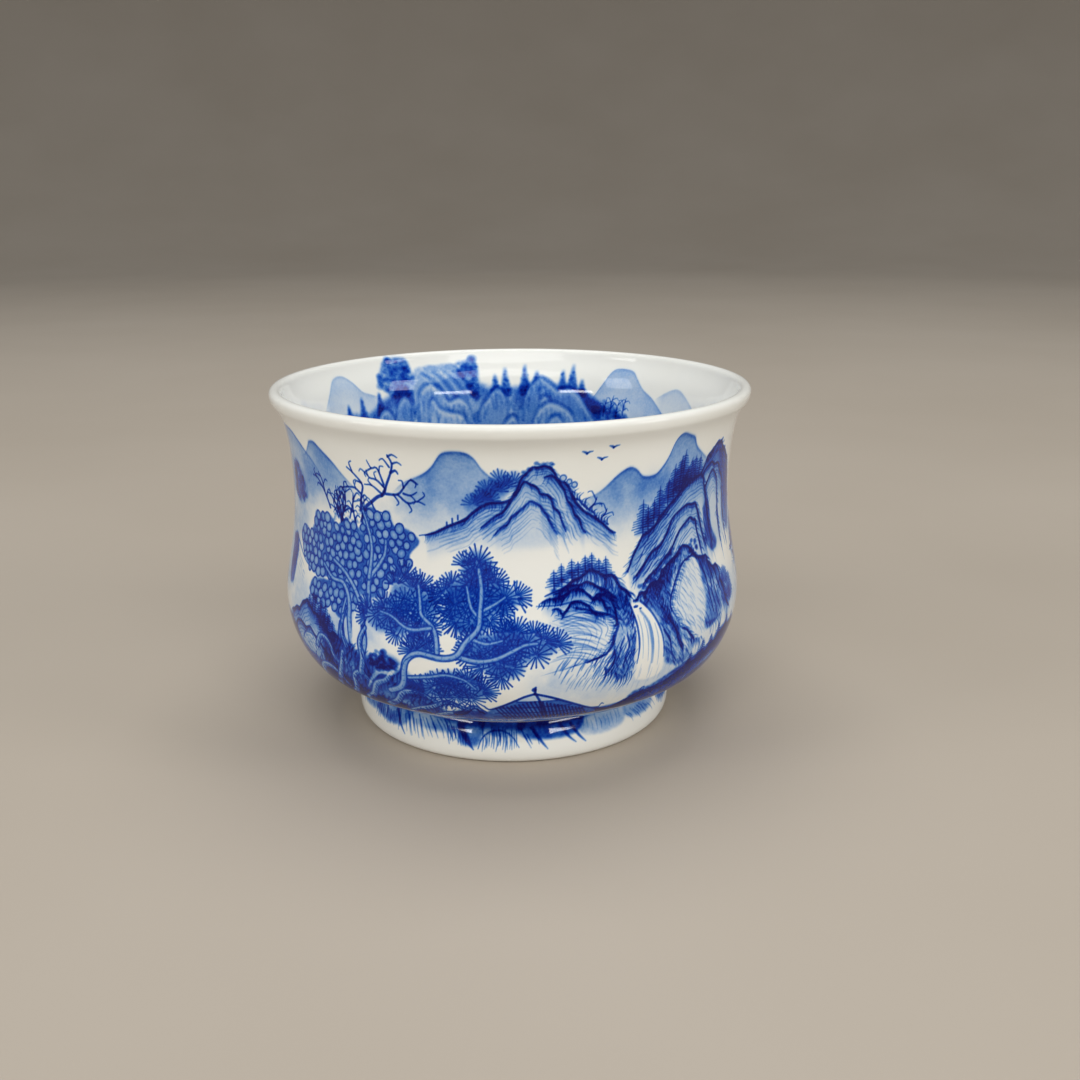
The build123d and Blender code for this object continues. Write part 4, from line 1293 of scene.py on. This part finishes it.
for piece, cad_node in (
    (painted_outer, "outer_glaze"),
    (painted_inner, "inner_glaze"),
    (painted_foot, "foot_glaze"),
):
    piece.data.materials.append(glazed(piece.name.replace("painted", "cobalt"), True))
    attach(piece, "root")
    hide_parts(cad_node)


# ----------------------------------------------------------------------- floor, light and camera

FLOOR_RADIUS = 1.1    # where the floor starts to sweep up
SWEEP = 0.9           # radius of the sweep
SPOKES = 96


def studio_floor():
    """A plain floor that sweeps up into a backdrop all round."""
    slopes = np.radians(np.arange(6, 91, 6))
    radius = np.append([0.2, 0.6, FLOOR_RADIUS], FLOOR_RADIUS + SWEEP * np.sin(slopes))
    height = np.append([0.0, 0.0, 0.0], SWEEP * (1 - np.cos(slopes)))
    turns = 2 * math.pi * np.arange(SPOKES) / SPOKES
    rings = np.zeros((len(radius), SPOKES, 3))
    rings[:, :, 0] = np.outer(radius, np.cos(turns))
    rings[:, :, 1] = np.outer(radius, np.sin(turns))
    rings[:, :, 2] = height[:, None]
    vertices = np.vstack([np.zeros((1, 3)), rings.reshape(-1, 3)])
    index = 1 + np.arange(len(radius) * SPOKES).reshape(len(radius), SPOKES)
    after = np.roll(index, -1, 1)
    quads = np.stack([index[:-1], index[1:], after[1:], after[:-1]], -1).reshape(-1, 4)
    tris = np.column_stack([np.zeros(SPOKES, int), index[0], after[0]])
    floor = smooth_object("studio_floor", vertices, quads, tris)
    made, tree, shader = material("studio_floor")
    patches = noise(tree, scale=6, detail=3)
    tone = ramp(tree, patches, [(0.3, (0.43, 0.375, 0.31)), (0.7, (0.46, 0.405, 0.34))])
    tree.links.new(tone, shader.inputs["Base Color"])
    shader.inputs["Roughness"].default_value = 0.75
    floor.data.materials.append(made)
    return floor


studio_floor()

# Soft rectangular lights, which face a point on the z axis at the height aim.
for name, place, aim, width, tall, watts, colour in (
    ("ceiling_panel", (0.0, 0.2, 1.1), 0.03, 1.0, 0.7, 6.65, (1.0, 0.99, 0.96)),
    ("left_window_bar", (-0.6, -0.71, 0.19), 0.01, 0.34, 0.03, 0.9, (1.0, 0.99, 0.97)),
    ("right_window_bar", (0.54, -0.76, 0.19), 0.01, 0.38, 0.03, 0.9, (1.0, 0.99, 0.97)),
    ("front_panel", (0.05, -0.85, 0.75), 0.03, 1.2, 0.3, 5.75, (1.0, 0.985, 0.95)),
    ("left_window", (-0.9, -0.35, 0.42), 0.03, 0.3, 0.3, 2.0, (1.0, 0.98, 0.95)),
    ("right_window", (0.9, -0.35, 0.42), 0.03, 0.3, 0.3, 2.4, (1.0, 0.98, 0.95)),
):
    lamp = bpy.data.lights.new(name, "AREA")
    lamp.shape = "RECTANGLE"
    lamp.size = width
    lamp.size_y = tall
    lamp.energy = watts
    lamp.color = colour
    panel = bpy.data.objects.new(name, lamp)
    panel.location = place
    panel.rotation_euler = (Vector((0, 0, aim)) - Vector(place)).to_track_quat("-Z", "Y").to_euler()
    bpy.context.scene.collection.objects.link(panel)

world = bpy.data.worlds.new("studio")
world.use_nodes = True
world.node_tree.nodes["Background"].inputs["Color"].default_value = (0.86, 0.92, 1.0, 1)
world.node_tree.nodes["Background"].inputs["Strength"].default_value = 0.19
bpy.context.scene.world = world
bpy.context.scene.view_settings.view_transform = "Standard"

CAMERA_PLACE = (0.0, -0.2016, 0.0897)
CAMERA_YAW = math.radians(1.365)     # towards +X
CAMERA_PITCH = math.radians(16.67)   # downwards
CAMERA_ROLL = math.radians(-0.26)

lens = bpy.data.cameras.new("camera")
lens.sensor_width = 36
lens.lens = 40
lens.clip_start = 0.01
camera = bpy.data.objects.new("camera", lens)
camera.matrix_world = (
    Matrix.Translation(CAMERA_PLACE)
    @ Matrix.Rotation(-CAMERA_YAW, 4, "Z")
    @ Matrix.Rotation(math.pi / 2 - CAMERA_PITCH, 4, "X")
    @ Matrix.Rotation(CAMERA_ROLL, 4, "Z")
)
bpy.context.scene.collection.objects.link(camera)
bpy.context.scene.camera = camera
